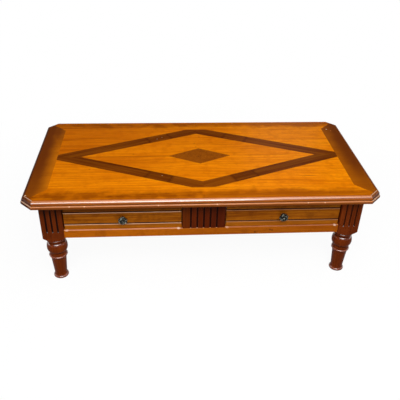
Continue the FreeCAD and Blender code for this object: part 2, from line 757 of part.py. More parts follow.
def tails(low_x, high_x, base_y, tip_y, low_z, high_z):
    """Row of dovetails that widen from the base to the tip."""
    first = low_z + TAIL_END_MARGIN
    last = high_z - TAIL_END_MARGIN
    flare = abs(tip_y - base_y) * TAIL_SLOPE
    row = []
    for i in range(DRAWER_TAILS):
        middle = first + (last - first) * i / (DRAWER_TAILS - 1)
        waist = TAIL_WIDTH / 2
        tip = waist + flare
        corners = [(base_y, middle - waist), (tip_y, middle - tip),
                   (tip_y, middle + tip), (base_y, middle + waist)]
        points = [FreeCAD.Vector(low_x, y, z) for y, z in corners]
        face = Part.Face(Part.makePolygon(points + points[:1]))
        row.append(face.extrude(X_AXIS * (high_x - low_x)))
    return row


def front_tails(low_x, high_x):
    return tails(low_x, high_x, DRAWER_FRONT_BACK_Y, DRAWER_FRONT_BACK_Y - TAIL_LENGTH,
                 DRAWER_SIDE_BOTTOM, DRAWER_SIDE_TOP)


def back_tails(low_x, high_x):
    return tails(low_x, high_x, DRAWER_BACK_Y, DRAWER_END_Y, DRAWER_BACK_BOTTOM, DRAWER_SIDE_TOP)


def side_spans():
    """Both sides of the right drawer, as the span of each across the table."""
    return [(DRAWER_LOW_X, DRAWER_LOW_X + DRAWER_SIDE_THICKNESS),
            (DRAWER_HIGH_X - DRAWER_SIDE_THICKNESS, DRAWER_HIGH_X)]


def drawer_panel(gap):
    """Bottom panel, or the groove that it slides in where a gap is given."""
    inset = DRAWER_SIDE_THICKNESS - PANEL_GROOVE_DEPTH
    low = (DRAWER_LOW_X + inset, DRAWER_FRONT_BACK_Y - PANEL_GROOVE_DEPTH, PANEL_BOTTOM)
    high = (DRAWER_HIGH_X - inset, DRAWER_END_Y, PANEL_TOP)
    return grown_box(low, high, gap)


def drawer_side(low_x, high_x):
    side = box((low_x, DRAWER_FRONT_BACK_Y, DRAWER_SIDE_BOTTOM), (high_x, DRAWER_BACK_Y, DRAWER_SIDE_TOP))
    heel = box((low_x, DRAWER_BACK_Y, DRAWER_SIDE_BOTTOM), (high_x, DRAWER_END_Y, DRAWER_BACK_BOTTOM))
    side = fused_with(side, [heel] + front_tails(low_x, high_x) + back_tails(low_x, high_x))
    return side.cut(drawer_panel(PANEL_CLEARANCE))


def front_groove(height):
    """V groove along the face of a drawer front."""
    half = FRONT_GROOVE_WIDTH / 2
    corners = [(DRAWER_FACE_Y, height - half), (DRAWER_FACE_Y, height + half),
               (DRAWER_FACE_Y + half, height)]
    points = [FreeCAD.Vector(DRAWER_LOW_X, y, z) for y, z in corners]
    face = Part.Face(Part.makePolygon(points + points[:1]))
    return face.extrude(X_AXIS * (DRAWER_HIGH_X - DRAWER_LOW_X))


def drawer_front():
    front = box((DRAWER_LOW_X, DRAWER_FACE_Y, DRAWER_FRONT_BOTTOM),
                (DRAWER_HIGH_X, DRAWER_FRONT_BACK_Y, DRAWER_FRONT_TOP))
    front = eased_face(front)
    cuts = [front_groove(PATTERN_HEIGHT - FRONT_GROOVE_SPACING / 2),
            front_groove(PATTERN_HEIGHT + FRONT_GROOVE_SPACING / 2),
            drawer_panel(PANEL_CLEARANCE),
            knob_rod(KNOB_SCREW_RADIUS + KNOB_HOLE_CLEARANCE, DRAWER_FRONT_THICKNESS)]
    for low_x, high_x in side_spans():
        cuts = cuts + front_tails(low_x, high_x)
    return front.cut(cuts)


def drawer_back():
    back = box((DRAWER_LOW_X, DRAWER_BACK_Y, DRAWER_BACK_BOTTOM),
               (DRAWER_HIGH_X, DRAWER_END_Y, DRAWER_SIDE_TOP))
    cuts = []
    for low_x, high_x in side_spans():
        cuts = cuts + back_tails(low_x, high_x)
    return back.cut(cuts)


# Knobs

def knob_rod(radius, length):
    """Rod along the knob's axis, from the inside of the drawer front outwards."""
    start = FreeCAD.Vector(DRAWER_MIDDLE_X, DRAWER_FRONT_BACK_Y, KNOB_HEIGHT)
    return Part.makeCylinder(radius, length, start, Y_AXIS * -1)


def knob():
    """Turned knob with a petalled head, standing on the drawer front."""
    stem_end = KNOB_BASE_HEIGHT + KNOB_STEM_HEIGHT
    boss_start = KNOB_REACH - KNOB_BOSS_HEIGHT
    rim_back = boss_start - 2 * KNOB_RIM_HEIGHT
    rim_front = rim_back + KNOB_RIM_HEIGHT

    def at(radius, reach):
        return FreeCAD.Vector(radius, -reach, 0)

    stem_side = at(KNOB_STEM_RADIUS, (KNOB_BASE_HEIGHT + stem_end) / 2)
    ball = (KNOB_BOSS_RADIUS ** 2 + KNOB_BOSS_HEIGHT ** 2) / (2 * KNOB_BOSS_HEIGHT)
    half_turn = math.atan2(KNOB_BOSS_RADIUS, ball - KNOB_BOSS_HEIGHT) / 2
    boss_side = at(ball * math.sin(half_turn), KNOB_REACH - ball * (1 - math.cos(half_turn)))
    petal_crown = at((KNOB_RADIUS + KNOB_BOSS_RADIUS) / 2, boss_start)
    edges = [
        line(at(0, 0), at(KNOB_BASE_RADIUS, 0)),
        line(at(KNOB_BASE_RADIUS, 0), at(KNOB_BASE_RADIUS, KNOB_BASE_HEIGHT)),
        arc(at(KNOB_BASE_RADIUS, KNOB_BASE_HEIGHT), stem_side, at(KNOB_BASE_RADIUS, stem_end)),
        line(at(KNOB_BASE_RADIUS, stem_end), at(KNOB_RADIUS, rim_back)),
        line(at(KNOB_RADIUS, rim_back), at(KNOB_RADIUS, rim_front)),
        arc(at(KNOB_RADIUS, rim_front), petal_crown, at(KNOB_BOSS_RADIUS, rim_front)),
        line(at(KNOB_BOSS_RADIUS, rim_front), at(KNOB_BOSS_RADIUS, boss_start)),
        arc(at(KNOB_BOSS_RADIUS, boss_start), boss_side, at(0, KNOB_REACH)),
        line(at(0, KNOB_REACH), at(0, 0)),
    ]
    shape = Part.Face(Part.Wire(edges)).revolve(ORIGIN, Y_AXIS, 360)
    for i in range(KNOB_PETALS):
        angle = 2 * math.pi * i / KNOB_PETALS
        out = FreeCAD.Vector(math.cos(angle), 0, math.sin(angle)) * (KNOB_RADIUS + KNOB_NOTCH_RADIUS / 2)
        shape = shape.cut(Part.makeCylinder(KNOB_NOTCH_RADIUS, KNOB_REACH, out, Y_AXIS * -1))
    shape.translate(FreeCAD.Vector(DRAWER_MIDDLE_X, DRAWER_FACE_Y, KNOB_HEIGHT))
    bite = DRAWER_FRONT_THICKNESS + KNOB_SCREW_BITE + KNOB_SCREW_CLEARANCE
    return shape.cut(knob_rod(KNOB_SCREW_RADIUS + KNOB_SCREW_CLEARANCE, bite))


def knob_screw():
    """Round-headed screw from inside the drawer into the knob."""
    shank = knob_rod(KNOB_SCREW_RADIUS, DRAWER_FRONT_THICKNESS + KNOB_SCREW_BITE)
    seat = FreeCAD.Vector(DRAWER_MIDDLE_X, DRAWER_FRONT_BACK_Y, KNOB_HEIGHT)
    head = Part.makeCylinder(KNOB_SCREW_HEAD_RADIUS, KNOB_SCREW_HEAD_HEIGHT, seat, Y_AXIS)
    return fused_with(shank, [head])


def write_drawers():
    inner_span, outer_span = side_spans()
    pieces = {
        "front": drawer_front(),
        "side_inner": drawer_side(*inner_span),
        "side_outer": drawer_side(*outer_span),
        "back": drawer_back(),
        "bottom": drawer_panel(0),
        "knob": knob(),
        "knob_screw": knob_screw(),
    }
    for name, shape in pieces.items():
        write_pair("left_drawer_" + name, "right_drawer_" + name, shape)


write_top()
write_fixings()
write_legs()
write_frame()
write_drawer_supports()
write_drawers()
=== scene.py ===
import math

import bpy
from mathutils import Matrix, Vector


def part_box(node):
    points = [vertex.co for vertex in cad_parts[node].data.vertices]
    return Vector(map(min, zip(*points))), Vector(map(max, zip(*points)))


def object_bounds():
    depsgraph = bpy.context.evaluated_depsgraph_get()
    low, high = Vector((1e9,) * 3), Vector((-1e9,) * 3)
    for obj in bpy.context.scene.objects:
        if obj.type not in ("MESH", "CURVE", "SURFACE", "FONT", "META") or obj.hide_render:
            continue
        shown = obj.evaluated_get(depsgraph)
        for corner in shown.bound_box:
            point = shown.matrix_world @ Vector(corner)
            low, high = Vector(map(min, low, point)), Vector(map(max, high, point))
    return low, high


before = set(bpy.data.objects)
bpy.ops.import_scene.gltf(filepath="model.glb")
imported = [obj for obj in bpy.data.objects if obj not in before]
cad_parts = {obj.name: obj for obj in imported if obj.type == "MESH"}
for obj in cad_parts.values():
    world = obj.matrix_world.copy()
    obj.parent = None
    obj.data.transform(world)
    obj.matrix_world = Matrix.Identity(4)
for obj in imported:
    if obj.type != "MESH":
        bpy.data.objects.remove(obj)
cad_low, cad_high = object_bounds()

# Low table with two drawers: inlaid cherry top, mahogany legs and stile, cast knobs.
# Metres, in the table's own frame: X along the table, Y from front to back, Z up.


# Colours

def display(red, green, blue):
    """Colour given in screen values from 0 to 255, as linear light."""
    shares = [value / 255 for value in (red, green, blue)]
    linear = [s / 12.92 if s <= 0.04045 else ((s + 0.055) / 1.055) ** 2.4 for s in shares]
    return (*linear, 1.0)


def grey(level):
    """Plain grey given as linear light."""
    return (level, level, level, 1.0)


WHITE = grey(1.0)


# Nodes of a finish

# Share of a soft mark's radius that is at full strength
SPOT_CORE = 0.4


class Value:
    """One output of a node. Arithmetic on values adds math nodes."""

    def __init__(self, nodes, socket):
        self.nodes = nodes
        self.socket = socket

    def other(self, name):
        """Another output of the same node."""
        return Value(self.nodes, self.socket.node.outputs[name])

    def math(self, operation, *terms):
        return self.nodes.node("Math", {"operation": operation}, dict(enumerate(terms)))

    def __add__(self, other):
        return self.math("ADD", self, other)

    def __sub__(self, other):
        return self.math("SUBTRACT", self, other)

    def __rsub__(self, other):
        return self.math("SUBTRACT", other, self)

    def __mul__(self, other):
        return self.math("MULTIPLY", self, other)

    def __gt__(self, other):
        return self.math("GREATER_THAN", self, other)

    def __lt__(self, other):
        return self.math("LESS_THAN", self, other)

    def __abs__(self):
        return self.math("ABSOLUTE", self)

    def least(self, other):
        return self.math("MINIMUM", self, other)

    def most(self, other):
        return self.math("MAXIMUM", self, other)

    __radd__ = __add__
    __rmul__ = __mul__


class Nodes:
    """The node tree of a finish or of the surroundings."""

    def __init__(self, tree):
        self.tree = tree

    def node(self, kind, settings=None, sockets=None, output=0):
        """Add a node: its settings first, then the values or links of its sockets."""
        made = self.tree.nodes.new("ShaderNode" + kind)
        for name, value in (settings or {}).items():
            if name == "stops":
                self.set_stops(made.color_ramp, value)
            else:
                setattr(made, name, value)
        for key, value in (sockets or {}).items():
            self.feed(made.inputs[key], value)
        return Value(self, made.outputs[output])

    def feed(self, socket, value):
        if isinstance(value, Value):
            self.tree.links.new(value.socket, socket)
        else:
            socket.default_value = value

    @staticmethod
    def set_stops(ramp, stops):
        while len(ramp.elements) < len(stops):
            ramp.elements.new(1.0)
        for element, (position, colour) in zip(ramp.elements, stops):
            element.position = position
            element.color = colour

    def ramp(self, value, stops):
        return self.node("ValToRGB", {"stops": stops}, {"Fac": value})

    def mix(self, factor, first, second):
        """Colour between two colours."""
        return self.node("Mix", {"data_type": "RGBA"}, {0: factor, 6: first, 7: second}, 2)

    def fade(self, value, start, end):
        """Smooth step from 0 at start to 1 at end."""
        sockets = {"Value": value, "From Min": start, "From Max": end}
        if start > end:
            sockets.update({"From Min": end, "From Max": start, "To Min": 1.0, "To Max": 0.0})
        return self.node("MapRange", {"interpolation_type": "SMOOTHSTEP"}, sockets)

    def noise(self, vector, detail=2.0, roughness=0.5):
        sockets = {"Vector": vector, "Scale": 1.0, "Detail": detail, "Roughness": roughness}
        return self.node("TexNoise", {}, sockets)

    def vector(self, x, y, z):
        return self.node("CombineXYZ", {}, {"X": x, "Y": y, "Z": z})

    def length(self, vector):
        return self.node("VectorMath", {"operation": "LENGTH"}, {0: vector}, "Value")


class Finish(Nodes):
    """A material, with the places that its patterns are laid out by."""

    def __init__(self, name):
        self.material = bpy.data.materials.new(name)
        self.material.use_nodes = True
        super().__init__(self.material.node_tree)
        self.shader = self.tree.nodes["Principled BSDF"]
        self.place = self.node("TexCoord", {}, {}, "Object")
        self.x = self.node("SeparateXYZ", {}, {"Vector": self.place})
        self.y = self.x.other("Y")
        self.z = self.x.other("Z")

    def set(self, **sockets):
        """Feed sockets of the shader, named with underscores for spaces."""
        for name, value in sockets.items():
            self.feed(self.shader.inputs[name.replace("_", " ")], value)

    def stretched(self, axes, lengthwise, crosswise, seed):
        """Place in the wood, drawn out along the grain."""
        along, across, through = axes
        return self.vector(along * lengthwise + seed, across * crosswise, through * crosswise)

    def even(self, scale):
        """Place scaled alike in all directions."""
        return self.node("VectorMath", {"operation": "SCALE"}, {0: self.place, "Scale": scale})

    def by_side(self, left, right):
        """One strength on the left half of the table and another on the right."""
        return (self.x < 0.0) * (left - right) + right

    def spot(self, centre, radius):
        """Soft round mark about a point, 1 in its middle."""
        away = self.node("VectorMath", {"operation": "DISTANCE"}, {0: self.place, 1: centre}, "Value")
        return self.fade(away, radius, radius * SPOT_CORE)

    def facing_up(self):
        """How far the surface faces up, 1 on level ground."""
        normal = self.place.other("Normal")
        return self.node("SeparateXYZ", {}, {"Vector": normal}, "Z")

    def ripple(self, height, depth):
        """Fine relief of the surface."""
        bump = self.node("Bump", {}, {"Strength": 1.0, "Distance": depth, "Height": height})
        self.set(Normal=bump)


# Places on the table, from its pieces

field_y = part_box("corner_field_back_right")[1].y
tip_x, tip_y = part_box("inner_field_back_right")[1][:2]
band_tip_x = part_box("diamond_band_back_right")[1].x
arris_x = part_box("end_band_right")[1].x
arris_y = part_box("long_band_back")[1].y
top_z = cad_high.z
post_low, post_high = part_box("leg_back_right")
post_x = (post_low.x + post_high.x) / 2
post_y = (post_low.y + post_high.y) / 2
post_half = (post_high.x - post_low.x) / 2
rail_low, rail_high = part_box("front_bottom_rail")
rail_height = rail_high.z - rail_low.z
stile_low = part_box("centre_stile")[0]
drawer_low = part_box("right_drawer_front")[0]
ledge_y = (rail_low.y + drawer_low.y) / 2
knob_low, knob_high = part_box("right_drawer_knob")
knob_middle = (knob_low + knob_high) / 2


# Wood

AXES = {"x": "xyz", "y": "yxz", "z": "zxy"}

# Waves to a metre, along the grain and across it
FIGURE = (1.8, 22)
STREAKS = (5, 170)
FIBRES = (30, 900)
PORES = (45, 480)

# Steps that keep a wood's streaks and fibres apart from its figure
STREAK_STEP = 3.7
FIBRE_STEP = 9.1

PORE_EDGE = (0.56, 0.7)
MOTTLE_CLOUDS = 26
MOTTLE_EDGE = (0.45, 0.7)
GLOSS_CLOUDS = 14
GLOSS_SPREAD = 0.1
GRAIN_RELIEF = 0.00003


def grain_axes(finish, direction):
    """Along the grain, across it and through it."""
    return [getattr(finish, name) for name in AXES[direction]]


def grain(finish, axes, seed, figure=0.5, streaks=0.5, fibres=0.25):
    """Light and dark of the wood about one half, by shares of broad figure, streaks and fine fibres."""
    broad = finish.noise(finish.stretched(axes, *FIGURE, seed))
    lines = finish.noise(finish.stretched(axes, *STREAKS, seed + STREAK_STEP), detail=3.0)
    fine = finish.noise(finish.stretched(axes, *FIBRES, seed + FIBRE_STEP), roughness=0.6)
    level = 0.5 - (figure + streaks + fibres) / 2
    return broad * figure + lines * streaks + fine * fibres + level


def pores(finish, axes, seed):
    """Short dark flecks along the grain."""
    return finish.fade(finish.noise(finish.stretched(axes, *PORES, seed), detail=1.0), *PORE_EDGE)


def tones(dark, middle, light):
    """Stops of a ramp over the grain's range, from three screen colours."""
    return [(0.3, display(*dark)), (0.5, display(*middle)), (0.7, display(*light))]


def mottled(finish, colour, mark, strength):
    """Colour with soft uneven clouds of another, as in figured wood under an old finish."""
    cloud = finish.noise(finish.even(MOTTLE_CLOUDS), detail=3.0, roughness=0.6)
    return finish.mix(finish.fade(cloud, *MOTTLE_EDGE) * strength, colour, mark)


def varnish(finish, wood, roughness, specular):
    """Clear satin finish, a little uneven in its gloss, with the grain just felt through it."""
    cloud = finish.noise(finish.even(GLOSS_CLOUDS), detail=3.0)
    uneven = cloud * GLOSS_SPREAD + (roughness - GLOSS_SPREAD / 2)
    finish.set(Roughness=uneven, Specular_IOR_Level=specular)
    finish.ripple(wood, GRAIN_RELIEF)


def polish(finish, weight, ior, roughness):
    """Hard gloss over the satin, where the surface has been rubbed up."""
    finish.set(Coat_Weight=weight, Coat_IOR=ior, Coat_Roughness=roughness)


# Veneers of the top

TOP_ROUGHNESS = 0.24
TOP_SPECULAR = 0.03

# Length that a cut corner takes off each side of the arris
CORNER_CUT = 0.0331
ARRIS_LINE = (0.003, 0.0008)
ARRIS_STRENGTH = 0.45
ARRIS_COLOUR = display(96, 40, 12)

TONER_CLOUDS = 9
TONER_WISPS = 30
PALE_NICK = display(232, 200, 160)
DARK_SPOT = display(92, 40, 8)


def varnish_top(finish, wood):
    varnish(finish, wood, TOP_ROUGHNESS, TOP_SPECULAR)


def from_arris(finish):
    """Distance in from the arris round the top, corners included."""
    side = (arris_x - abs(finish.x)).least(arris_y - abs(finish.y))
    corner = (arris_x + arris_y - CORNER_CUT - abs(finish.x) - abs(finish.y)) * math.sqrt(0.5)
    return side.least(corner)


def arris_line(finish, colour):
    """Colour with a thin dark line of old finish along the arris."""
    line = finish.fade(from_arris(finish), *ARRIS_LINE)
    return finish.mix(line * ARRIS_STRENGTH, colour, ARRIS_COLOUR)


def toner(finish, away, start, full, drift):
    """Dark toner sprayed along an edge, from where it starts to where it is full, drifting in and out."""
    clouds = finish.noise(finish.even(TONER_CLOUDS), detail=3.0)
    wisps = finish.noise(finish.even(TONER_WISPS))
    return finish.fade(away + (clouds + wisps - 1.0) * drift, start, full)


def spotted(finish, colour, mark, strength, radius, places):
    """Colour with small soft marks at places on the top."""
    for x, y in places:
        colour = finish.mix(finish.spot((x, y, top_z), radius) * strength, colour, mark)
    return colour


# Amber field and long bands

FIELD_AMBER = tones((204, 105, 2), (230, 128, 4), (246, 149, 7))
# Duller wood, also used for the painted shade over the left and back of the field
FIELD_DULL_AND_SHADED = tones((146, 62, 2), (176, 82, 3), (200, 100, 5))
FIELD_TONED = tones((128, 60, 2), (152, 74, 2), (174, 90, 4))
FIELD_PORE = display(168, 80, 2)
FIELD_PORE_STRENGTH = 0.3
FIELD_CLOUD = display(196, 96, 2)
FIELD_CLOUD_STRENGTH = 0.4

# Shift of the grain from one leaf to the next, then how often and how far it wanders
BACK_LEAF = 2.9
INNER_LEAF = 1.7
WANDER_WAVES = 3.5
WANDER = 0.03

# Duller wood of two leaves, and painted shade over the left and over the back inside the diamond: where
# each begins and is full, and its strength
DULL_LEAF = (0.0, -0.35)
DULL_LEAF_STRENGTH = 0.6
LEFT_SHADE = (0.45, -0.5)
LEFT_SHADE_STRENGTH = 0.2
BACK_SHADE = (0.0, 0.15)
BACK_SHADE_STRENGTH = 0.25

SEAM_HALF = 0.0021
SEAM_COLOUR = display(110, 50, 4)
SEAM_LEFT = 0.9
SEAM_RIGHT = 0.1
JOINT_LINE = 0.2
LONG_BAND_TONE = 0.12

# Toner along the front and back: start, full and drift, then its strengths
LONG_TONER = {"start": 0.07, "full": 0.022, "drift": 0.05}
LONG_TONER_LEFT = 0.87
LONG_TONER_RIGHT = 0.6
LONG_TONER_INWARD = 0.25
LONG_TONER_RIM = 0.02
PATCH_CLOUDS = 20
PATCH_EDGE = (0.36, 0.68)
PATCH_STRENGTH = 0.45

FIELD_KNOTS = ((-0.014, 0.109), (-0.010, 0.077), (0.459, -0.292),
               (-0.429, -0.099), (-0.266, 0.019), (0.01, 0.169))
KNOT_RADIUS = 0.005
KNOT_STRENGTH = 0.4
STREAK_X = 0.412
STREAK_Y = -0.168
STREAK_FLATNESS = 0.11
STREAK_EDGE = (0.005, 0.001)
STREAK_STRENGTH = 0.35


def in_diamond(finish):
    """1 in the quartered field inside the diamond, 0 outside it."""
    return (abs(finish.x) * (1 / tip_x) + abs(finish.y) * (1 / tip_y)) < 1.0


def leaf_axes(finish, inside):
    """Axes of grain that runs along the table, wanders a little and differs from leaf to leaf."""
    leaf = (finish.y > 0.0) * BACK_LEAF + inside * INNER_LEAF
    wander = finish.noise(finish.even(WANDER_WAVES), detail=1.0) * WANDER
    return (finish.x, finish.y + leaf + wander, finish.z)


def dull_leaves_and_shade(finish, inside):
    """Duller wood of two leaves on the left, and painted shade a little all over the left and over the
    back inside the diamond.
    """
    front = finish.y < 0.0
    leaves = (inside * front).most((1.0 - inside) * (1.0 - front))
    dull_and_shade = leaves * finish.fade(finish.x, *DULL_LEAF) * DULL_LEAF_STRENGTH
    dull_and_shade = dull_and_shade.most(finish.fade(finish.x, *LEFT_SHADE) * LEFT_SHADE_STRENGTH)
    return dull_and_shade.most(inside * finish.fade(finish.y, *BACK_SHADE) * BACK_SHADE_STRENGTH)


def middle_seam(finish):
    """Seam between the leaves along the middle of the table, darkest on the left."""
    return finish.fade(abs(finish.y), SEAM_HALF, 0.0) * finish.by_side(SEAM_LEFT, SEAM_RIGHT)


def long_joint(finish):
    """Joint between the field and the long bands, and the deeper tone of the bands."""
    across = abs(finish.y)
    line = finish.fade(abs(across - field_y), SEAM_HALF, 0.0)
    return line * JOINT_LINE + (across > field_y) * LONG_BAND_TONE


def long_toner(finish):
    """Toner along the front and back edges, lighter at the very rim, heavier and patchy on the left."""
    away = arris_y - abs(finish.y)
    inward = finish.fade(away, 0.0, LONG_TONER_RIM) * LONG_TONER_INWARD
    strength = inward + finish.by_side(LONG_TONER_LEFT, LONG_TONER_RIGHT)
    patches = finish.fade(finish.noise(finish.even(PATCH_CLOUDS)), *PATCH_EDGE)
    thin = patches * finish.by_side(PATCH_STRENGTH, 0.0)
    return toner(finish, away, **LONG_TONER) * strength * (1.0 - thin)


def long_streak(finish):
    """One dark streak along the grain at the front right."""
    off = finish.vector((finish.x - STREAK_X) * STREAK_FLATNESS, finish.y - STREAK_Y, 0.0)
    return finish.fade(finish.length(off), *STREAK_EDGE) * STREAK_STRENGTH


def cherry_field():
    """Amber cherry in matched leaves, toned dark along the front and back edges, with painted shade over
    the left and the back inside the diamond.
    """
    finish = Finish("cherry_field")
    inside = in_diamond(finish)
    axes = leaf_axes(finish, inside)
    wood = grain(finish, axes, seed=0.0, figure=0.45, streaks=0.7, fibres=0.4)
    amber = finish.ramp(wood, FIELD_AMBER)
    amber = finish.mix(pores(finish, axes, seed=5.0) * FIELD_PORE_STRENGTH, amber, FIELD_PORE)
    amber = mottled(finish, amber, FIELD_CLOUD, FIELD_CLOUD_STRENGTH)
    # Duller leaves, with painted shade over the left and the back inside the diamond
    amber = finish.mix(dull_leaves_and_shade(finish, inside), amber, finish.ramp(wood, FIELD_DULL_AND_SHADED))
    amber = finish.mix(middle_seam(finish), amber, SEAM_COLOUR)
    toned = long_toner(finish).most(long_joint(finish))
    amber = finish.mix(toned, amber, finish.ramp(wood, FIELD_TONED))
    amber = spotted(finish, amber, DARK_SPOT, KNOT_STRENGTH, KNOT_RADIUS, FIELD_KNOTS)
    amber = finish.mix(long_streak(finish), amber, DARK_SPOT)
    finish.set(Base_Color=arris_line(finish, amber))
    varnish_top(finish, wood)
    return finish.material


# End bands

END_BROWN = tones((160, 84, 6), (190, 104, 9), (206, 118, 12))
END_RIGHT = display(134, 66, 4)
END_RIGHT_STRENGTH = 0.6
END_TONED = display(108, 50, 10)
END_TONER = {"start": 0.082, "full": 0.02, "drift": 0.015}

# Toner rubbed off towards the front
END_RUB = (-0.05, -0.27)
END_RUB_LEFT = 0.15
END_RUB_RIGHT = 0.6

# Toner over the back, thinner along the inner edge
END_BACK = (0.04, 0.22)
END_BACK_LEFT = 0.9
END_BACK_RIGHT = 0.6
END_INNER = (0.045, 0.075)
END_INNER_STRENGTH = 0.4

END_NICKS = ((0.588, 0.234), (-0.636, -0.279))
END_NICK_RADIUS = 0.0045
END_CHIPS = ((0.603, 0.219),)
END_CHIP_RADIUS = 0.0035
END_CHIP_STRENGTH = 0.8
END_CHIP_COLOUR = display(214, 124, 56)


def end_toner(finish):
    """Toner along the outer edge and over the back, rubbed off at the front, more so on the right."""
    away = arris_x - abs(finish.x)
    rubbed = finish.fade(finish.y, *END_RUB) * finish.by_side(END_RUB_LEFT, END_RUB_RIGHT)
    inner = finish.fade(away, *END_INNER) * END_INNER_STRENGTH
    back = finish.fade(finish.y, *END_BACK) * finish.by_side(END_BACK_LEFT, END_BACK_RIGHT)
    return (toner(finish, away, **END_TONER) * (1.0 - rubbed)).most(back * (1.0 - inner))


def brown_end_band():
    """Cross-banded brown veneer, toned at its outer edge and back, and darker on the right."""
    finish = Finish("brown_end_band")
    wood = grain(finish, grain_axes(finish, "x"), seed=11.0, figure=0.6, streaks=0.4, fibres=0.2)
    brown = finish.ramp(wood, END_BROWN)
    brown = finish.mix(finish.by_side(0.0, END_RIGHT_STRENGTH), brown, END_RIGHT)
    brown = finish.mix(end_toner(finish), brown, END_TONED)
    brown = spotted(finish, brown, PALE_NICK, 1.0, END_NICK_RADIUS, END_NICKS)
    brown = spotted(finish, brown, END_CHIP_COLOUR, END_CHIP_STRENGTH, END_CHIP_RADIUS, END_CHIPS)
    finish.set(Base_Color=arris_line(finish, brown))
    varnish_top(finish, wood)
    return finish.material


# Diamond and lozenge

# Joints between a side's three leaves, as distances along it
TIP_JOINT = -0.135
CORNER_JOINT = -0.04
JOINT_REACH = 0.012
JOINT_STRENGTH = 0.45
JOINT_COLOUR = display(70, 28, 4)

# Shift of the grain from leaf to leaf and from side to side
DIAMOND_LEAF = 2.1
DIAMOND_RIGHT = 0.7
DIAMOND_BACK = 1.3

DIAMOND_BROWN = tones((84, 35, 3), (111, 52, 5), (136, 72, 9))
DIAMOND_PALE = display(160, 88, 14)
DIAMOND_PALE_LINE = (0.007, 0.001)
DIAMOND_PALE_STRENGTH = 0.2
DIAMOND_DARK_LEAF = display(76, 32, 4)
DIAMOND_DARK_STRENGTH = 0.3
DIAMOND_LIGHT_LEAF = display(160, 84, 12)
DIAMOND_LIGHT_STRENGTH = 0.22
DIAMOND_NICKS = ((-0.149, 0.168), (-0.170, 0.153), (-0.152, -0.153))
DIAMOND_NICK_RADIUS = 0.003
DIAMOND_NICK_STRENGTH = 0.4

BURL_BROWN = tones((106, 48, 4), (142, 73, 8), (164, 90, 12))
BURL_SWIRLS = 45
BURL_SPECKS = 420
BURL_SWIRL_SHARE = 0.35
BURL_SPECK_SHARE = 0.8
BURL_SPOTS = ((-0.004, -0.004),)
BURL_SPOT_RADIUS = 0.005
BURL_SPOT_STRENGTH = 0.6
BURL_SPOT_COLOUR = display(70, 24, 8)


def diamond_axes(finish):
    """Distances along a side of the diamond and across it, and the middle of its band."""
    side = math.hypot(tip_x, tip_y)
    run_x = -tip_x / side
    run_y = tip_y / side
    along = abs(finish.x) * run_x + abs(finish.y) * run_y
    across = abs(finish.x) * run_y - abs(finish.y) * run_x
    middle = (tip_x + band_tip_x) / 2 * run_y
    return along, across, middle


def diamond_leaf(finish, along):
    """Shift of the grain that sets the leaves of the diamond apart."""
    sides = (finish.x > 0.0) * DIAMOND_RIGHT + (finish.y > 0.0) * DIAMOND_BACK
    leaves = [(along > joint) * (DIAMOND_LEAF + joint) for joint in (TIP_JOINT, CORNER_JOINT)]
    return leaves[0] + leaves[1] + sides


def diamond_leaves(finish, brown, along):
    """Brown with lighter leaves at the front corner, darker ones to their right, and dark joints."""
    front = finish.y < 0.0
    dark = front * (finish.x > 0.0) * (along < CORNER_JOINT)
    brown = finish.mix(dark * DIAMOND_DARK_STRENGTH, brown, DIAMOND_DARK_LEAF)
    light = front * (along > CORNER_JOINT)
    brown = finish.mix(light * DIAMOND_LIGHT_STRENGTH, brown, DIAMOND_LIGHT_LEAF)
    for joint in (TIP_JOINT, CORNER_JOINT):
        line = finish.fade(abs(along - joint), JOINT_REACH, 0.0)
        brown = finish.mix(line * JOINT_STRENGTH, brown, JOINT_COLOUR)
    return brown


def brown_diamond():
    """Brown veneer along each side of the diamond in three leaves, with a paler line near the tips."""
    finish = Finish("brown_diamond")
    along, across, middle = diamond_axes(finish)
    axes = (along, across + diamond_leaf(finish, along), finish.z)
    wood = grain(finish, axes, seed=21.0, figure=0.5, streaks=0.7, fibres=0.3)
    brown = finish.ramp(wood, DIAMOND_BROWN)
    pale = finish.fade(abs(across - middle), *DIAMOND_PALE_LINE) * (along < TIP_JOINT)
    brown = finish.mix(pale * DIAMOND_PALE_STRENGTH, brown, DIAMOND_PALE)
    brown = diamond_leaves(finish, brown, along)
    brown = spotted(finish, brown, PALE_NICK, DIAMOND_NICK_STRENGTH, DIAMOND_NICK_RADIUS, DIAMOND_NICKS)
    finish.set(Base_Color=brown)
    varnish_top(finish, wood)
    return finish.material


def burl_lozenge():
    """Speckled burl in the middle of the top."""
    finish = Finish("burl_lozenge")
    swirl = finish.noise(finish.even(BURL_SWIRLS), detail=4.0, roughness=0.65)
    speck = finish.noise(finish.even(BURL_SPECKS), detail=1.0)
    level = 0.5 - (BURL_SWIRL_SHARE + BURL_SPECK_SHARE) / 2
    burl = swirl * BURL_SWIRL_SHARE + speck * BURL_SPECK_SHARE + level
    brown = finish.ramp(burl, BURL_BROWN)
    brown = spotted(finish, brown, BURL_SPOT_COLOUR, BURL_SPOT_STRENGTH, BURL_SPOT_RADIUS, BURL_SPOTS)
    finish.set(Base_Color=brown)
    varnish_top(finish, burl)
    return finish.material


# Moulded edge

# Heights on the moulding
QUIRK = 0.3742
NOSE_SHOULDER = 0.3715
NOSE_FACE = 0.3675

EDGE_BROWN = tones((116, 52, 10), (146, 74, 16), (166, 92, 24))
# Painted shade on the end and corner lengths, by their shade value
EDGE_SHADED = display(66, 28, 12)
EDGE_ROUGHNESS = 0.35
EDGE_SPECULAR = 0.06
EDGE_COAT_IOR = 2.4
EDGE_COAT_ROUGHNESS = 0.12
NOSE_COAT = 0.15

# Painted shade on the nose's lower face
NOSE_LOW_SHADE = display(100, 48, 10)
NOSE_LOW_SHADE_STRENGTH = 0.6
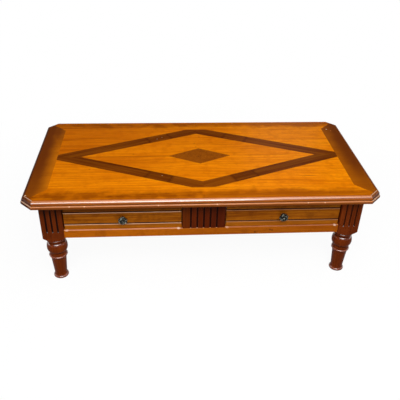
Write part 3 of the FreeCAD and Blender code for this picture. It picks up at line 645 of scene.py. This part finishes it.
# Painted highlight on the nose's upper round
NOSE_HIGHLIGHT = display(206, 136, 86)
NOSE_HIGHLIGHT_STRENGTH = 0.6
# Painted reflection on the ovolo's crown
CROWN_REFLECTION = display(230, 146, 86)
CROWN_REFLECTION_STRENGTH = 0.45
# Painted highlight lines along the top of the ovolo and the nose
HIGHLIGHT_LINE_COLOUR = display(226, 186, 156)

# How far up the wood faces where each of these begins and is full
CROWN_SHEEN = (0.55, 0.85)
OVOLO_LINE = (0.94, 0.99)
NOSE_LINE = (0.45, 0.75)
POLISHED = (0.25, 0.5)

# Painted shade at the left end of the moulding
LEFT_END = (-0.618, -0.628)
LEFT_END_SHADE = display(56, 24, 10)
LEFT_END_SHADE_STRENGTH = 0.6
NOSE_CHIPS = (-0.478, -0.426, -0.167, 0.042, 0.372, 0.434)
CHIP_RADIUS = 0.004
CHIP_STRENGTH = 0.5
CHIP_COLOUR = display(236, 196, 156)
# Painted shade in the quirk
QUIRK_LINE = (0.0024, 0.0006)
QUIRK_SHADE_STRENGTH = 0.85
QUIRK_SHADE_COLOUR = display(58, 20, 8)


def painted_edge_light(finish, brown, upward, shine):
    """Brown with painted shade on the nose's lower face, a painted highlight on the nose's upper round,
    and a painted reflection on the ovolo's crown.
    """
    nose = finish.z < QUIRK
    low = finish.fade(finish.z, NOSE_SHOULDER, NOSE_FACE)
    brown = finish.mix(low * NOSE_LOW_SHADE_STRENGTH, brown, NOSE_LOW_SHADE)
    # Painted highlight on the nose's upper round
    rubbed = nose * finish.fade(finish.z, NOSE_FACE, NOSE_SHOULDER)
    brown = finish.mix(rubbed * (NOSE_HIGHLIGHT_STRENGTH * shine), brown, NOSE_HIGHLIGHT)
    crown = (1.0 - nose) * finish.fade(upward, *CROWN_SHEEN)
    return finish.mix(crown * (CROWN_REFLECTION_STRENGTH * shine), brown, CROWN_REFLECTION)


def edge_shade_and_chips(finish, brown, upward, highlight_lines):
    """Brown with painted shade at the left end, painted highlight lines, chips on the nose and painted
    shade in the quirk.
    """
    nose = finish.z < QUIRK
    brown = finish.mix(finish.fade(finish.x, *LEFT_END) * LEFT_END_SHADE_STRENGTH, brown, LEFT_END_SHADE)
    # Painted highlight lines
    line = (1.0 - nose) * finish.fade(upward, *OVOLO_LINE) + nose * finish.fade(upward, *NOSE_LINE)
    brown = finish.mix(line * highlight_lines, brown, HIGHLIGHT_LINE_COLOUR)
    for x in NOSE_CHIPS:
        chip = finish.spot((x, cad_low.y, NOSE_SHOULDER), CHIP_RADIUS)
        brown = finish.mix(chip * CHIP_STRENGTH, brown, CHIP_COLOUR)
    quirk = finish.fade(abs(finish.z - QUIRK), *QUIRK_LINE)
    return finish.mix(quirk * QUIRK_SHADE_STRENGTH, brown, QUIRK_SHADE_COLOUR)


def edge_moulding(name, direction, shade, highlight_lines, gloss, shine):
    """Red-brown moulding, by each length's painted shade, painted highlight lines, gloss, and shine of
    painted highlights and specular.
    """
    finish = Finish(name)
    wood = grain(finish, grain_axes(finish, direction), seed=31.0)
    upward = finish.facing_up()
    brown = finish.mix(shade, finish.ramp(wood, EDGE_BROWN), EDGE_SHADED)
    brown = painted_edge_light(finish, brown, upward, shine)
    finish.set(Base_Color=edge_shade_and_chips(finish, brown, upward, highlight_lines))
    varnish(finish, wood, EDGE_ROUGHNESS, EDGE_SPECULAR * shine)
    coat = 1.0 - (finish.z < QUIRK) * (1.0 - NOSE_COAT)
    polish(finish, finish.fade(upward, *POLISHED) * coat * gloss, EDGE_COAT_IOR, EDGE_COAT_ROUGHNESS)
    return finish.material


# Legs and stile

MAHOGANY_ROUGHNESS = 0.35
MAHOGANY_SPECULAR = 0.03
LEG_BROWN = tones((77, 26, 4), (102, 40, 7), (122, 52, 11))
LEG_COAT_IOR = 1.9
LEG_COAT_ROUGHNESS = 0.15
LEG_POLISHED = (0.3, 0.55)

# Painted shadow high up, close under the overhang of the top
OVERHANG_SHADOW_START = 0.285
OVERHANG_SHADOW_BELOW = 0.04
PAINTED_SHADE_COLOUR = display(34, 12, 3)
LEG_OVERHANG_SHADOW_LEFT = 0.55
LEG_OVERHANG_SHADOW_RIGHT = 0.15
# Painted shade over the left posts
LEFT_POST_SHADE = 0.15

# Flutes: depth at the lip and in full shade, reach from a post's middle, height of the lower ends
FLUTE_LIP = 0.0001
FLUTE_SHADE = 0.001
FLUTE_REACH = 0.026
FLUTE_FOOT = 0.236
# Near-black in the flutes, partly old finish and partly painted shade, heavier on the left; greyer at
# their lower ends
FLUTE_DARK = display(26, 9, 6)
FLUTE_LEFT = 1.0
FLUTE_RIGHT = 0.7
FLUTE_END_GREY = display(60, 42, 36)
FLUTE_END_ABOVE = 0.006
FLUTE_END_BELOW = 0.004

# Heights of the rings on a leg, darkened with painted shade in the quirks
LEG_QUIRKS = (0.188, 0.173, 0.1268)
LEG_QUIRK_SHADE = display(36, 12, 6)
LEG_QUIRK_SHADE_STRENGTH = 0.8
# Heights of the painted highlights along the rims of the collar and the foot
RIM_HIGHLIGHTS = (0.1088, 0.0088)
RIM_HIGHLIGHT_COLOUR = display(176, 108, 88)
RIM_HIGHLIGHT_STRENGTH = 0.4
RING_LINE = (0.003, 0.001)

STILE_BROWN = tones((64, 19, 3), (89, 31, 5), (107, 42, 9))
STILE_RIGHT = (-0.06, 0.07)
STILE_RIGHT_COLOUR = display(62, 16, 3)
STILE_RIGHT_STRENGTH = 0.5
STILE_LEFT_LAND = -0.05
STILE_LEFT_COLOUR = display(112, 52, 4)
STILE_LEFT_STRENGTH = 0.3
# Painted shadow under the overhang on the stile
STILE_OVERHANG_SHADOW = 0.5
STILE_FLUTES = 0.9


def overhang_shadow(finish, colour, strength):
    """Colour with painted shadow high up, under the overhang of the top."""
    high = finish.fade(finish.z, OVERHANG_SHADOW_START, top_z - OVERHANG_SHADOW_BELOW)
    return finish.mix(high * strength, colour, PAINTED_SHADE_COLOUR)


def fluted(finish, colour, depth, foot, strength):
    """Colour near-black in the flutes, partly old finish and partly painted shade, and greyer at their
    lower ends.
    """
    low = finish.fade(finish.z, foot + FLUTE_END_ABOVE, foot - FLUTE_END_BELOW)
    dark = finish.mix(low, FLUTE_DARK, FLUTE_END_GREY)
    return finish.mix(finish.fade(depth, FLUTE_LIP, FLUTE_SHADE) * strength, colour, dark)


def ringed(finish, colour, mark, strength, heights):
    """Colour with thin soft rings at given heights."""
    for height in heights:
        ring = finish.fade(abs(finish.z - height), *RING_LINE)
        colour = finish.mix(ring * strength, colour, mark)
    return colour


def post_depth(finish):
    """Depth in from the faces of a post, where its flutes run."""
    off_x = abs(abs(finish.x) - post_x)
    off_y = abs(abs(finish.y) - post_y)
    within = (off_x.least(off_y) < FLUTE_REACH) * (finish.z > rail_low.z)
    return (post_half - off_x.most(off_y)) * within


def mahogany_leg():
    """Dark mahogany, near-black in the flutes from old finish and painted shade, with painted shade in the
    quirks and painted highlights on the rims, polished on its rounds. Left posts carry painted shade, and
    all carry painted shadow under the overhang.
    """
    finish = Finish("mahogany_leg")
    wood = grain(finish, grain_axes(finish, "z"), seed=41.0, figure=0.4, streaks=0.4, fibres=0.2)
    brown = finish.ramp(wood, LEG_BROWN)
    # Painted shade over the left posts, above the rail
    left_post_shade = finish.by_side(LEFT_POST_SHADE, 0.0) * (finish.z > rail_low.z)
    brown = finish.mix(left_post_shade, brown, PAINTED_SHADE_COLOUR)
    # Painted shadow under the overhang, heavier on the left
    brown = overhang_shadow(finish, brown, finish.by_side(LEG_OVERHANG_SHADOW_LEFT, LEG_OVERHANG_SHADOW_RIGHT))
    # Flutes near-black, partly old finish and partly painted shade
    brown = fluted(finish, brown, post_depth(finish), FLUTE_FOOT, finish.by_side(FLUTE_LEFT, FLUTE_RIGHT))
    # Painted shade in the quirks of the turning
    brown = ringed(finish, brown, LEG_QUIRK_SHADE, LEG_QUIRK_SHADE_STRENGTH, LEG_QUIRKS)
    # Painted highlights along the rims of the collar and the foot
    brown = ringed(finish, brown, RIM_HIGHLIGHT_COLOUR, RIM_HIGHLIGHT_STRENGTH, RIM_HIGHLIGHTS)
    finish.set(Base_Color=brown)
    varnish(finish, wood, MAHOGANY_ROUGHNESS, MAHOGANY_SPECULAR)
    polish(finish, finish.fade(finish.facing_up(), *LEG_POLISHED), LEG_COAT_IOR, LEG_COAT_ROUGHNESS)
    return finish.material


def mahogany_stile():
    """Dark mahogany of the fluted stile, darker to the right and more orange at its left side, with
    painted shadow high up under the overhang and flutes darkened partly with painted shade.
    """
    finish = Finish("mahogany_stile")
    wood = grain(finish, grain_axes(finish, "z"), seed=43.0, figure=0.4, streaks=0.4, fibres=0.2)
    brown = finish.ramp(wood, STILE_BROWN)
    right = finish.fade(finish.x, *STILE_RIGHT)
    brown = finish.mix(right * STILE_RIGHT_STRENGTH, brown, STILE_RIGHT_COLOUR)
    left = finish.x < STILE_LEFT_LAND
    brown = finish.mix(left * STILE_LEFT_STRENGTH, brown, STILE_LEFT_COLOUR)
    # Painted shadow under the overhang
    brown = overhang_shadow(finish, brown, STILE_OVERHANG_SHADOW)
    # Flutes near-black, partly old finish and partly painted shade
    brown = fluted(finish, brown, finish.y - stile_low.y, rail_high.z, STILE_FLUTES)
    finish.set(Base_Color=brown)
    varnish(finish, wood, MAHOGANY_ROUGHNESS, MAHOGANY_SPECULAR)
    return finish.material


# Rails and drawer fronts

CHERRY_ROUGHNESS = 0.4
CHERRY_SPECULAR = 0.04

RAIL_BROWN = tones((128, 58, 3), (154, 76, 5), (176, 94, 9))
RAIL_LEFT = (0.15, -0.25)
RAIL_LEFT_COLOUR = display(198, 106, 9)
RAIL_LEFT_STRENGTH = 0.5
RAIL_CLOUD = display(120, 54, 3)
RAIL_CLOUD_STRENGTH = 0.35
RAIL_PORE = display(112, 50, 3)
RAIL_PORE_STRENGTH = 0.3

# Ledge under the drawers painted pale as a highlight, paler still at the ends of each drawer, by their
# places along the table
LEDGE_DEPTH = 0.001
LEDGE_HIGHLIGHT = display(224, 160, 122)
LEDGE_LEFT = 0.85
LEDGE_RIGHT = 0.35
LEDGE_END_HIGHLIGHTS = {-0.506: 0.8, -0.094: 1.0, 0.089: 0.4, 0.503: 0.8}
LEDGE_END_RADIUS = 0.008
LEDGE_END_DEPTH = 0.003
LEDGE_END_HIGHLIGHT = display(232, 200, 176)

# Stains on the front rail, by place along the table and share of the rail's height
RAIL_STAINS = ((0.196, 0.27), (0.254, 0.57), (0.262, 0.5))
STAIN_RADIUS = 0.006
STAIN_STRENGTH = 0.6
STAIN_COLOUR = display(70, 30, 4)

DRAWER_BROWN = tones((104, 47, 3), (137, 71, 6), (168, 96, 13))
DRAWER_CLOUD = display(98, 45, 3)
DRAWER_CLOUD_STRENGTH = 0.5
DRAWER_PORE = display(88, 40, 3)
DRAWER_PORE_STRENGTH = 0.35
# Painted light, paler low down on the drawer fronts
DRAWER_LOW_LIGHT = (0.285, 0.25)
DRAWER_LOW_LIGHT_COLOUR = display(190, 112, 22)
DRAWER_LOW_LIGHT_STRENGTH = 0.35
# Painted shadow under the overhang on the drawer fronts, left and right
DRAWER_OVERHANG_SHADOW_LEFT = 0.6
DRAWER_OVERHANG_SHADOW_RIGHT = 0.35

# Grooves of the drawer fronts: heights, half width, and depths where painted shade turns them dark
GROOVES = (0.263, 0.314)
GROOVE_HALF = 0.003
GROOVE_SHADE = (0.0005, 0.0012)
GROOVE_SHADE_COLOUR = display(34, 11, 6)
GROOVE_MARGIN = 1.1
FRONT_MARGIN = 1.2
# Painted highlight on the grooves' lower lips, heavier on the left
LIP_LINE = (0.0026, 0.0014)
LIP_HIGHLIGHT = display(212, 164, 132)
LIP_LEFT = 0.8
LIP_RIGHT = 0.25


def ledge_highlight(finish, brown):
    """Brown with a painted highlight on the ledge under the drawers, most of all at the ends of each
    drawer.
    """
    ledge = finish.fade(finish.z, rail_high.z - LEDGE_DEPTH, rail_high.z) * (finish.y < drawer_low.y)
    brown = finish.mix(ledge * finish.by_side(LEDGE_LEFT, LEDGE_RIGHT), brown, LEDGE_HIGHLIGHT)
    for x, strength in LEDGE_END_HIGHLIGHTS.items():
        # Painted highlight at the end of a drawer
        worn = finish.spot((x, ledge_y, rail_high.z), LEDGE_END_RADIUS)
        worn = worn * (finish.z > rail_high.z - LEDGE_END_DEPTH)
        brown = finish.mix(worn * strength, brown, LEDGE_END_HIGHLIGHT)
    return brown


def stained(finish, brown):
    """Brown with dark stains on the face of the front rail."""
    for x, share in RAIL_STAINS:
        stain = finish.spot((x, rail_low.y, rail_low.z + rail_height * share), STAIN_RADIUS)
        brown = finish.mix(stain * STAIN_STRENGTH, brown, STAIN_COLOUR)
    return brown


def cherry_rail(name, direction):
    """Orange-brown cherry of the rails and aprons, brighter on the left, with a painted highlight on the
    ledge under the drawers.
    """
    finish = Finish(name)
    axes = grain_axes(finish, direction)
    wood = grain(finish, axes, seed=51.0)
    brown = finish.ramp(wood, RAIL_BROWN)
    brown = finish.mix(finish.fade(finish.x, *RAIL_LEFT) * RAIL_LEFT_STRENGTH, brown, RAIL_LEFT_COLOUR)
    brown = mottled(finish, brown, RAIL_CLOUD, RAIL_CLOUD_STRENGTH)
    brown = finish.mix(pores(finish, axes, seed=53.0) * RAIL_PORE_STRENGTH, brown, RAIL_PORE)
    brown = ledge_highlight(finish, brown)
    finish.set(Base_Color=stained(finish, brown))
    varnish(finish, wood, CHERRY_ROUGHNESS, CHERRY_SPECULAR)
    return finish.material


def grooved(finish, brown):
    """Brown with painted shade deep in the grooves and a painted highlight on their lower lips, more so on
    the left.
    """
    depth = finish.y - drawer_low.y
    front = depth < GROOVE_HALF * FRONT_MARGIN
    deep = finish.fade(depth, *GROOVE_SHADE)
    lip = finish.by_side(LIP_LEFT, LIP_RIGHT)
    for height in GROOVES:
        # Painted highlight on the groove's lower lip
        worn = finish.fade(abs(finish.z - (height - GROOVE_HALF)), *LIP_LINE) * front
        brown = finish.mix(worn * lip, brown, LIP_HIGHLIGHT)
        # Painted shade deep in the groove
        groove = front * (abs(finish.z - height) < GROOVE_HALF * GROOVE_MARGIN)
        brown = finish.mix(groove * deep, brown, GROOVE_SHADE_COLOUR)
    return brown


def drawer_front():
    """Brown cherry of the drawer fronts, paler low down as painted light, with painted shadow under the
    overhang, and two grooves along each with painted shade and highlights.
    """
    finish = Finish("cherry_drawer_front")
    axes = grain_axes(finish, "x")
    wood = grain(finish, axes, seed=61.0, figure=0.6, streaks=0.65, fibres=0.35)
    brown = finish.ramp(wood, DRAWER_BROWN)
    brown = mottled(finish, brown, DRAWER_CLOUD, DRAWER_CLOUD_STRENGTH)
    brown = finish.mix(pores(finish, axes, seed=63.0) * DRAWER_PORE_STRENGTH, brown, DRAWER_PORE)
    # Painted light, paler low down
    brown = finish.mix(finish.fade(finish.z, *DRAWER_LOW_LIGHT) * DRAWER_LOW_LIGHT_STRENGTH, brown, DRAWER_LOW_LIGHT_COLOUR)
    # Painted shadow under the overhang, heavier on the left
    brown = overhang_shadow(finish, brown, finish.by_side(DRAWER_OVERHANG_SHADOW_LEFT, DRAWER_OVERHANG_SHADOW_RIGHT))
    finish.set(Base_Color=grooved(finish, brown))
    varnish(finish, wood, CHERRY_ROUGHNESS, CHERRY_SPECULAR)
    return finish.material


# Inside parts and metal

BARE_PALE = tones((160, 118, 70), (196, 154, 102), (220, 184, 136))
BARE_RELIEF = 0.0004
CORE_BROWN = tones((112, 78, 44), (146, 108, 66), (176, 138, 92))
CORE_CHIPS = 160
CORE_RELIEF = 0.0005

KNOB_TONES = [(0.4, display(16, 16, 13)), (0.56, display(36, 38, 32)), (0.65, display(206, 206, 190))]
KNOB_PATINA = 420
KNOB_RELIEF = 0.0004
KNOB_DIRT = display(16, 15, 12)
KNOB_RING = 0.006
KNOB_RING_LINE = (0.002, 0.0008)
STEEL_TONES = tones((120, 118, 112), (160, 158, 152), (190, 188, 182))
STEEL_CLOUDS = 300
METAL_ROUGHNESS = 0.2
METAL_SPREAD = 0.3


def bare_wood(name, direction):
    """Unfinished pale wood of the parts inside."""
    finish = Finish(name)
    wood = grain(finish, grain_axes(finish, direction), seed=71.0, figure=0.5, streaks=0.6, fibres=0.4)
    finish.set(Base_Color=finish.ramp(wood, BARE_PALE), Roughness=0.65, Specular_IOR_Level=0.2)
    finish.ripple(wood, BARE_RELIEF)
    return finish.material


def core_board():
    """Brown board under the top."""
    finish = Finish("core_board")
    chips = finish.noise(finish.even(CORE_CHIPS), detail=3.0, roughness=0.7)
    finish.set(Base_Color=finish.ramp(chips, CORE_BROWN), Roughness=0.75, Specular_IOR_Level=0.15)
    finish.ripple(chips, CORE_RELIEF)
    return finish.material


def knob_metal():
    """Dark cast metal, worn bright in spots, with dirt in the ring round its boss."""
    finish = Finish("knob_metal")
    patina = finish.noise(finish.even(KNOB_PATINA), detail=3.0, roughness=0.6)
    off_axis = finish.vector(abs(finish.x) - knob_middle.x, 0.0, finish.z - knob_middle.z)
    dirt = finish.fade(abs(finish.length(off_axis) - KNOB_RING), *KNOB_RING_LINE)
    metal = finish.mix(dirt, finish.ramp(patina, KNOB_TONES), KNOB_DIRT)
    finish.set(Base_Color=metal, Metallic=0.9, Roughness=patina * METAL_SPREAD + METAL_ROUGHNESS)
    finish.ripple(patina, KNOB_RELIEF)
    return finish.material


def screw_steel():
    """Plain steel screws."""
    finish = Finish("screw_steel")
    cloud = finish.noise(finish.even(STEEL_CLOUDS), detail=3.0)
    steel = finish.ramp(cloud, STEEL_TONES)
    finish.set(Base_Color=steel, Metallic=1.0, Roughness=cloud * METAL_SPREAD + METAL_ROUGHNESS)
    return finish.material


def paint(material, *names):
    """Give a finish to pieces of the table, by name or by the start of their names."""
    for name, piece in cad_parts.items():
        if name.startswith(names):
            piece.material_slots[0].material = material


def paint_top():
    paint(cherry_field(), "corner_field", "inner_field", "long_band")
    paint(brown_end_band(), "end_band")
    paint(brown_diamond(), "diamond_band")
    paint(burl_lozenge(), "centre_lozenge")
    long_edge = edge_moulding("edge_lengthwise", "x", shade=0.0, highlight_lines=0.0, gloss=0.66, shine=1.0)
    paint(long_edge, "edge_front", "edge_back")
    short_edge = edge_moulding("edge_crosswise", "y", shade=0.75, highlight_lines=0.0, gloss=0.0, shine=0.2)
    paint(short_edge, "edge_left", "edge_right")
    corner_edge = edge_moulding("edge_corner", "x", shade=0.75, highlight_lines=0.6, gloss=0.1, shine=0.3)
    paint(corner_edge, "edge_corner")


def paint_frame():
    paint(mahogany_leg(), "leg")
    paint(mahogany_stile(), "centre_stile")
    paint(cherry_rail("rail_lengthwise", "x"), "front_bottom_rail", "front_top_rail", "back_apron")
    paint(cherry_rail("rail_crosswise", "y"), "side_apron")


def paint_drawers_and_inside():
    """Drawers and inside parts. Screws come last, as the knob screws' names start like the knobs'."""
    paint(drawer_front(), "left_drawer_front", "right_drawer_front")
    paint(bare_wood("bare_wood_deep", "y"), "runner", "kicker", "left_drawer_side", "right_drawer_side")
    paint(bare_wood("bare_wood_wide", "x"), "drawer_stops", "top_buttons", "left_drawer_back",
          "right_drawer_back", "left_drawer_bottom", "right_drawer_bottom")
    paint(core_board(), "top_core")
    paint(knob_metal(), "left_drawer_knob", "right_drawer_knob")
    paint(screw_steel(), "top_screws", "left_drawer_knob_screw", "right_drawer_knob_screw")


paint_top()
paint_frame()
paint_drawers_and_inside()


# Camera

LENS = 48.013
SENSOR = 36.0
CAMERA_PLACE = Vector((-0.1569, -1.8987, 1.4232))
CAMERA_YAW = math.radians(4.968)
CAMERA_PITCH = math.radians(33.213)
CAMERA_ROLL = math.radians(1.732)


def place_camera():
    """Camera at the height and angle of the picture."""
    forward = Vector((math.sin(CAMERA_YAW) * math.cos(CAMERA_PITCH),
                      math.cos(CAMERA_YAW) * math.cos(CAMERA_PITCH),
                      -math.sin(CAMERA_PITCH)))
    level = Vector((math.cos(CAMERA_YAW), -math.sin(CAMERA_YAW), 0.0))
    upright = level.cross(forward)
    right = level * math.cos(CAMERA_ROLL) + upright * math.sin(CAMERA_ROLL)
    up = upright * math.cos(CAMERA_ROLL) - level * math.sin(CAMERA_ROLL)
    data = bpy.data.cameras.new("camera")
    data.lens = LENS
    data.sensor_width = SENSOR
    camera = bpy.data.objects.new("camera", data)
    turn = Matrix((right, up, -forward)).transposed().to_4x4()
    camera.matrix_world = Matrix.Translation(CAMERA_PLACE) @ turn
    bpy.context.scene.collection.objects.link(camera)
    bpy.context.scene.camera = camera


place_camera()


# Floor and surroundings

FLOOR_SIZE = 40.0
FLOOR_BOUNCE = grey(0.3)
FLOOR_SHADOW = 0.06
SHADOW_FADE = (0.64, 1.6)
SKY_SOFT = grey(0.22)
SKY_DARK = grey(0.01)

# Directions in which the sky is white, dark behind and dark on the left
SKY_WHITE_UP_TO = 0.04
SKY_SOFT_FROM = 0.16
BEHIND_BACK = (0.1, 0.4)
BEHIND_LOW = (0.08, 0.2)
BEHIND_HIGH = (0.95, 0.75)
LEFT_SIDE = (-0.3, -0.7)
LEFT_LOW = (0.05, 0.2)


def floor_finish():
    """Pale floor that shows white, with the table's shadow kept close to it."""
    finish = Finish("pale_floor")
    path = finish.node("LightPath", {}, {}, "Is Camera Ray")
    seen = path.most(path.other("Is Glossy Ray")).most(path.other("Is Transmission Ray"))
    finish.set(Base_Color=finish.mix(seen, FLOOR_BOUNCE, WHITE), Roughness=0.9, Specular_IOR_Level=0.0)
    far = finish.fade(finish.length(finish.place), *SHADOW_FADE)
    white = seen * (far * FLOOR_SHADOW + (1 - FLOOR_SHADOW))
    glow = finish.node("Emission", {}, {"Color": WHITE, "Strength": 1.0})
    lit = Value(finish, finish.shader.outputs["BSDF"])
    shown = finish.node("MixShader", {}, {0: white, 1: lit, 2: glow})
    finish.feed(finish.tree.nodes["Material Output"].inputs["Surface"], shown)
    return finish.material


def lay_floor():
    bpy.ops.object.select_all(action="DESELECT")
    bpy.ops.mesh.primitive_plane_add(size=FLOOR_SIZE, location=(0.0, 0.0, 0.0))
    floor = bpy.context.object
    floor.name = "floor"
    floor.data.materials.append(floor_finish())


def light_surroundings():
    """White low down all round and softer above, dark over the back of the table and on its left."""
    world = bpy.data.worlds.new("studio")
    world.use_nodes = True
    bpy.context.scene.world = world
    nodes = Nodes(world.node_tree)
    direction = nodes.node("TexCoord", {}, {}, "Generated")
    x = nodes.node("SeparateXYZ", {}, {"Vector": direction})
    y = x.other("Y")
    z = x.other("Z")
    sky = nodes.ramp(z, [(SKY_WHITE_UP_TO, WHITE), (SKY_SOFT_FROM, SKY_SOFT), (1.0, SKY_SOFT)])
    behind = nodes.fade(y, *BEHIND_BACK) * nodes.fade(z, *BEHIND_LOW) * nodes.fade(z, *BEHIND_HIGH)
    left = nodes.fade(x, *LEFT_SIDE) * nodes.fade(z, *LEFT_LOW)
    sky = nodes.mix(behind.most(left), sky, SKY_DARK)
    nodes.feed(world.node_tree.nodes["Background"].inputs["Color"], sky)


lay_floor()
light_surroundings()


# Lamps

# Points that the lamps are aimed at
TOP_FRONT = (0.1, -0.2, 0.35)
FRONT_EDGE = (0.0, -0.3, 0.35)
BACK_EDGE = (0.0, 0.3, 0.3)
TOP_RIGHT = (0.36, 0.1, 0.39)


def softbox(name, place, target, width, height, radiance):
    """Rectangular lamp aimed at a point, by the brightness of its face."""
    data = bpy.data.lights.new(name, "AREA")
    data.shape = "RECTANGLE"
    data.size = width
    data.size_y = height
    data.energy = radiance * math.pi * width * height
    lamp = bpy.data.objects.new(name, data)
    away = Vector(place) - Vector(target)
    lamp.rotation_mode = "QUATERNION"
    lamp.rotation_quaternion = away.to_track_quat("Z", "Y")
    lamp.location = place
    lamp.visible_camera = False
    bpy.context.scene.collection.objects.link(lamp)


def light_table():
    """Lamps over the front and far off in front, and others behind and at both sides."""
    softbox("window_lamp", (0.5, -1.5, 1.8), TOP_FRONT, width=1.6, height=1.2, radiance=1.75)
    softbox("overhead_lamp", (0.35, -0.7, 2.4), TOP_FRONT, width=2.0, height=1.7, radiance=1.6)
    softbox("left_lamp", (-0.5, -2.6, 2.5), FRONT_EDGE, width=2.6, height=1.3, radiance=4.2)
    softbox("key_lamp", (0.15, -7.5, 7.4), FRONT_EDGE, width=4.0, height=7.0, radiance=3.2)
    softbox("far_left_lamp", (-2.7, -7.5, 7.4), FRONT_EDGE, width=1.2, height=7.0, radiance=2.6)
    softbox("back_lamp", (0.0, 3.0, 0.4), BACK_EDGE, width=3.0, height=0.6, radiance=2.4)
    softbox("back_window", (1.25, 3.62, 2.13), TOP_RIGHT, width=0.8, height=0.7, radiance=0.75)
    for name, side in (("left_side_lamp", -1), ("right_side_lamp", 1)):
        place = (3.2 * side, 0.2, 0.5)
        target = (0.6 * side, 0.0, 0.25)
        softbox(name, place, target, width=2.0, height=0.7, radiance=2.4)


light_table()

bpy.context.scene.view_settings.view_transform = "Standard"
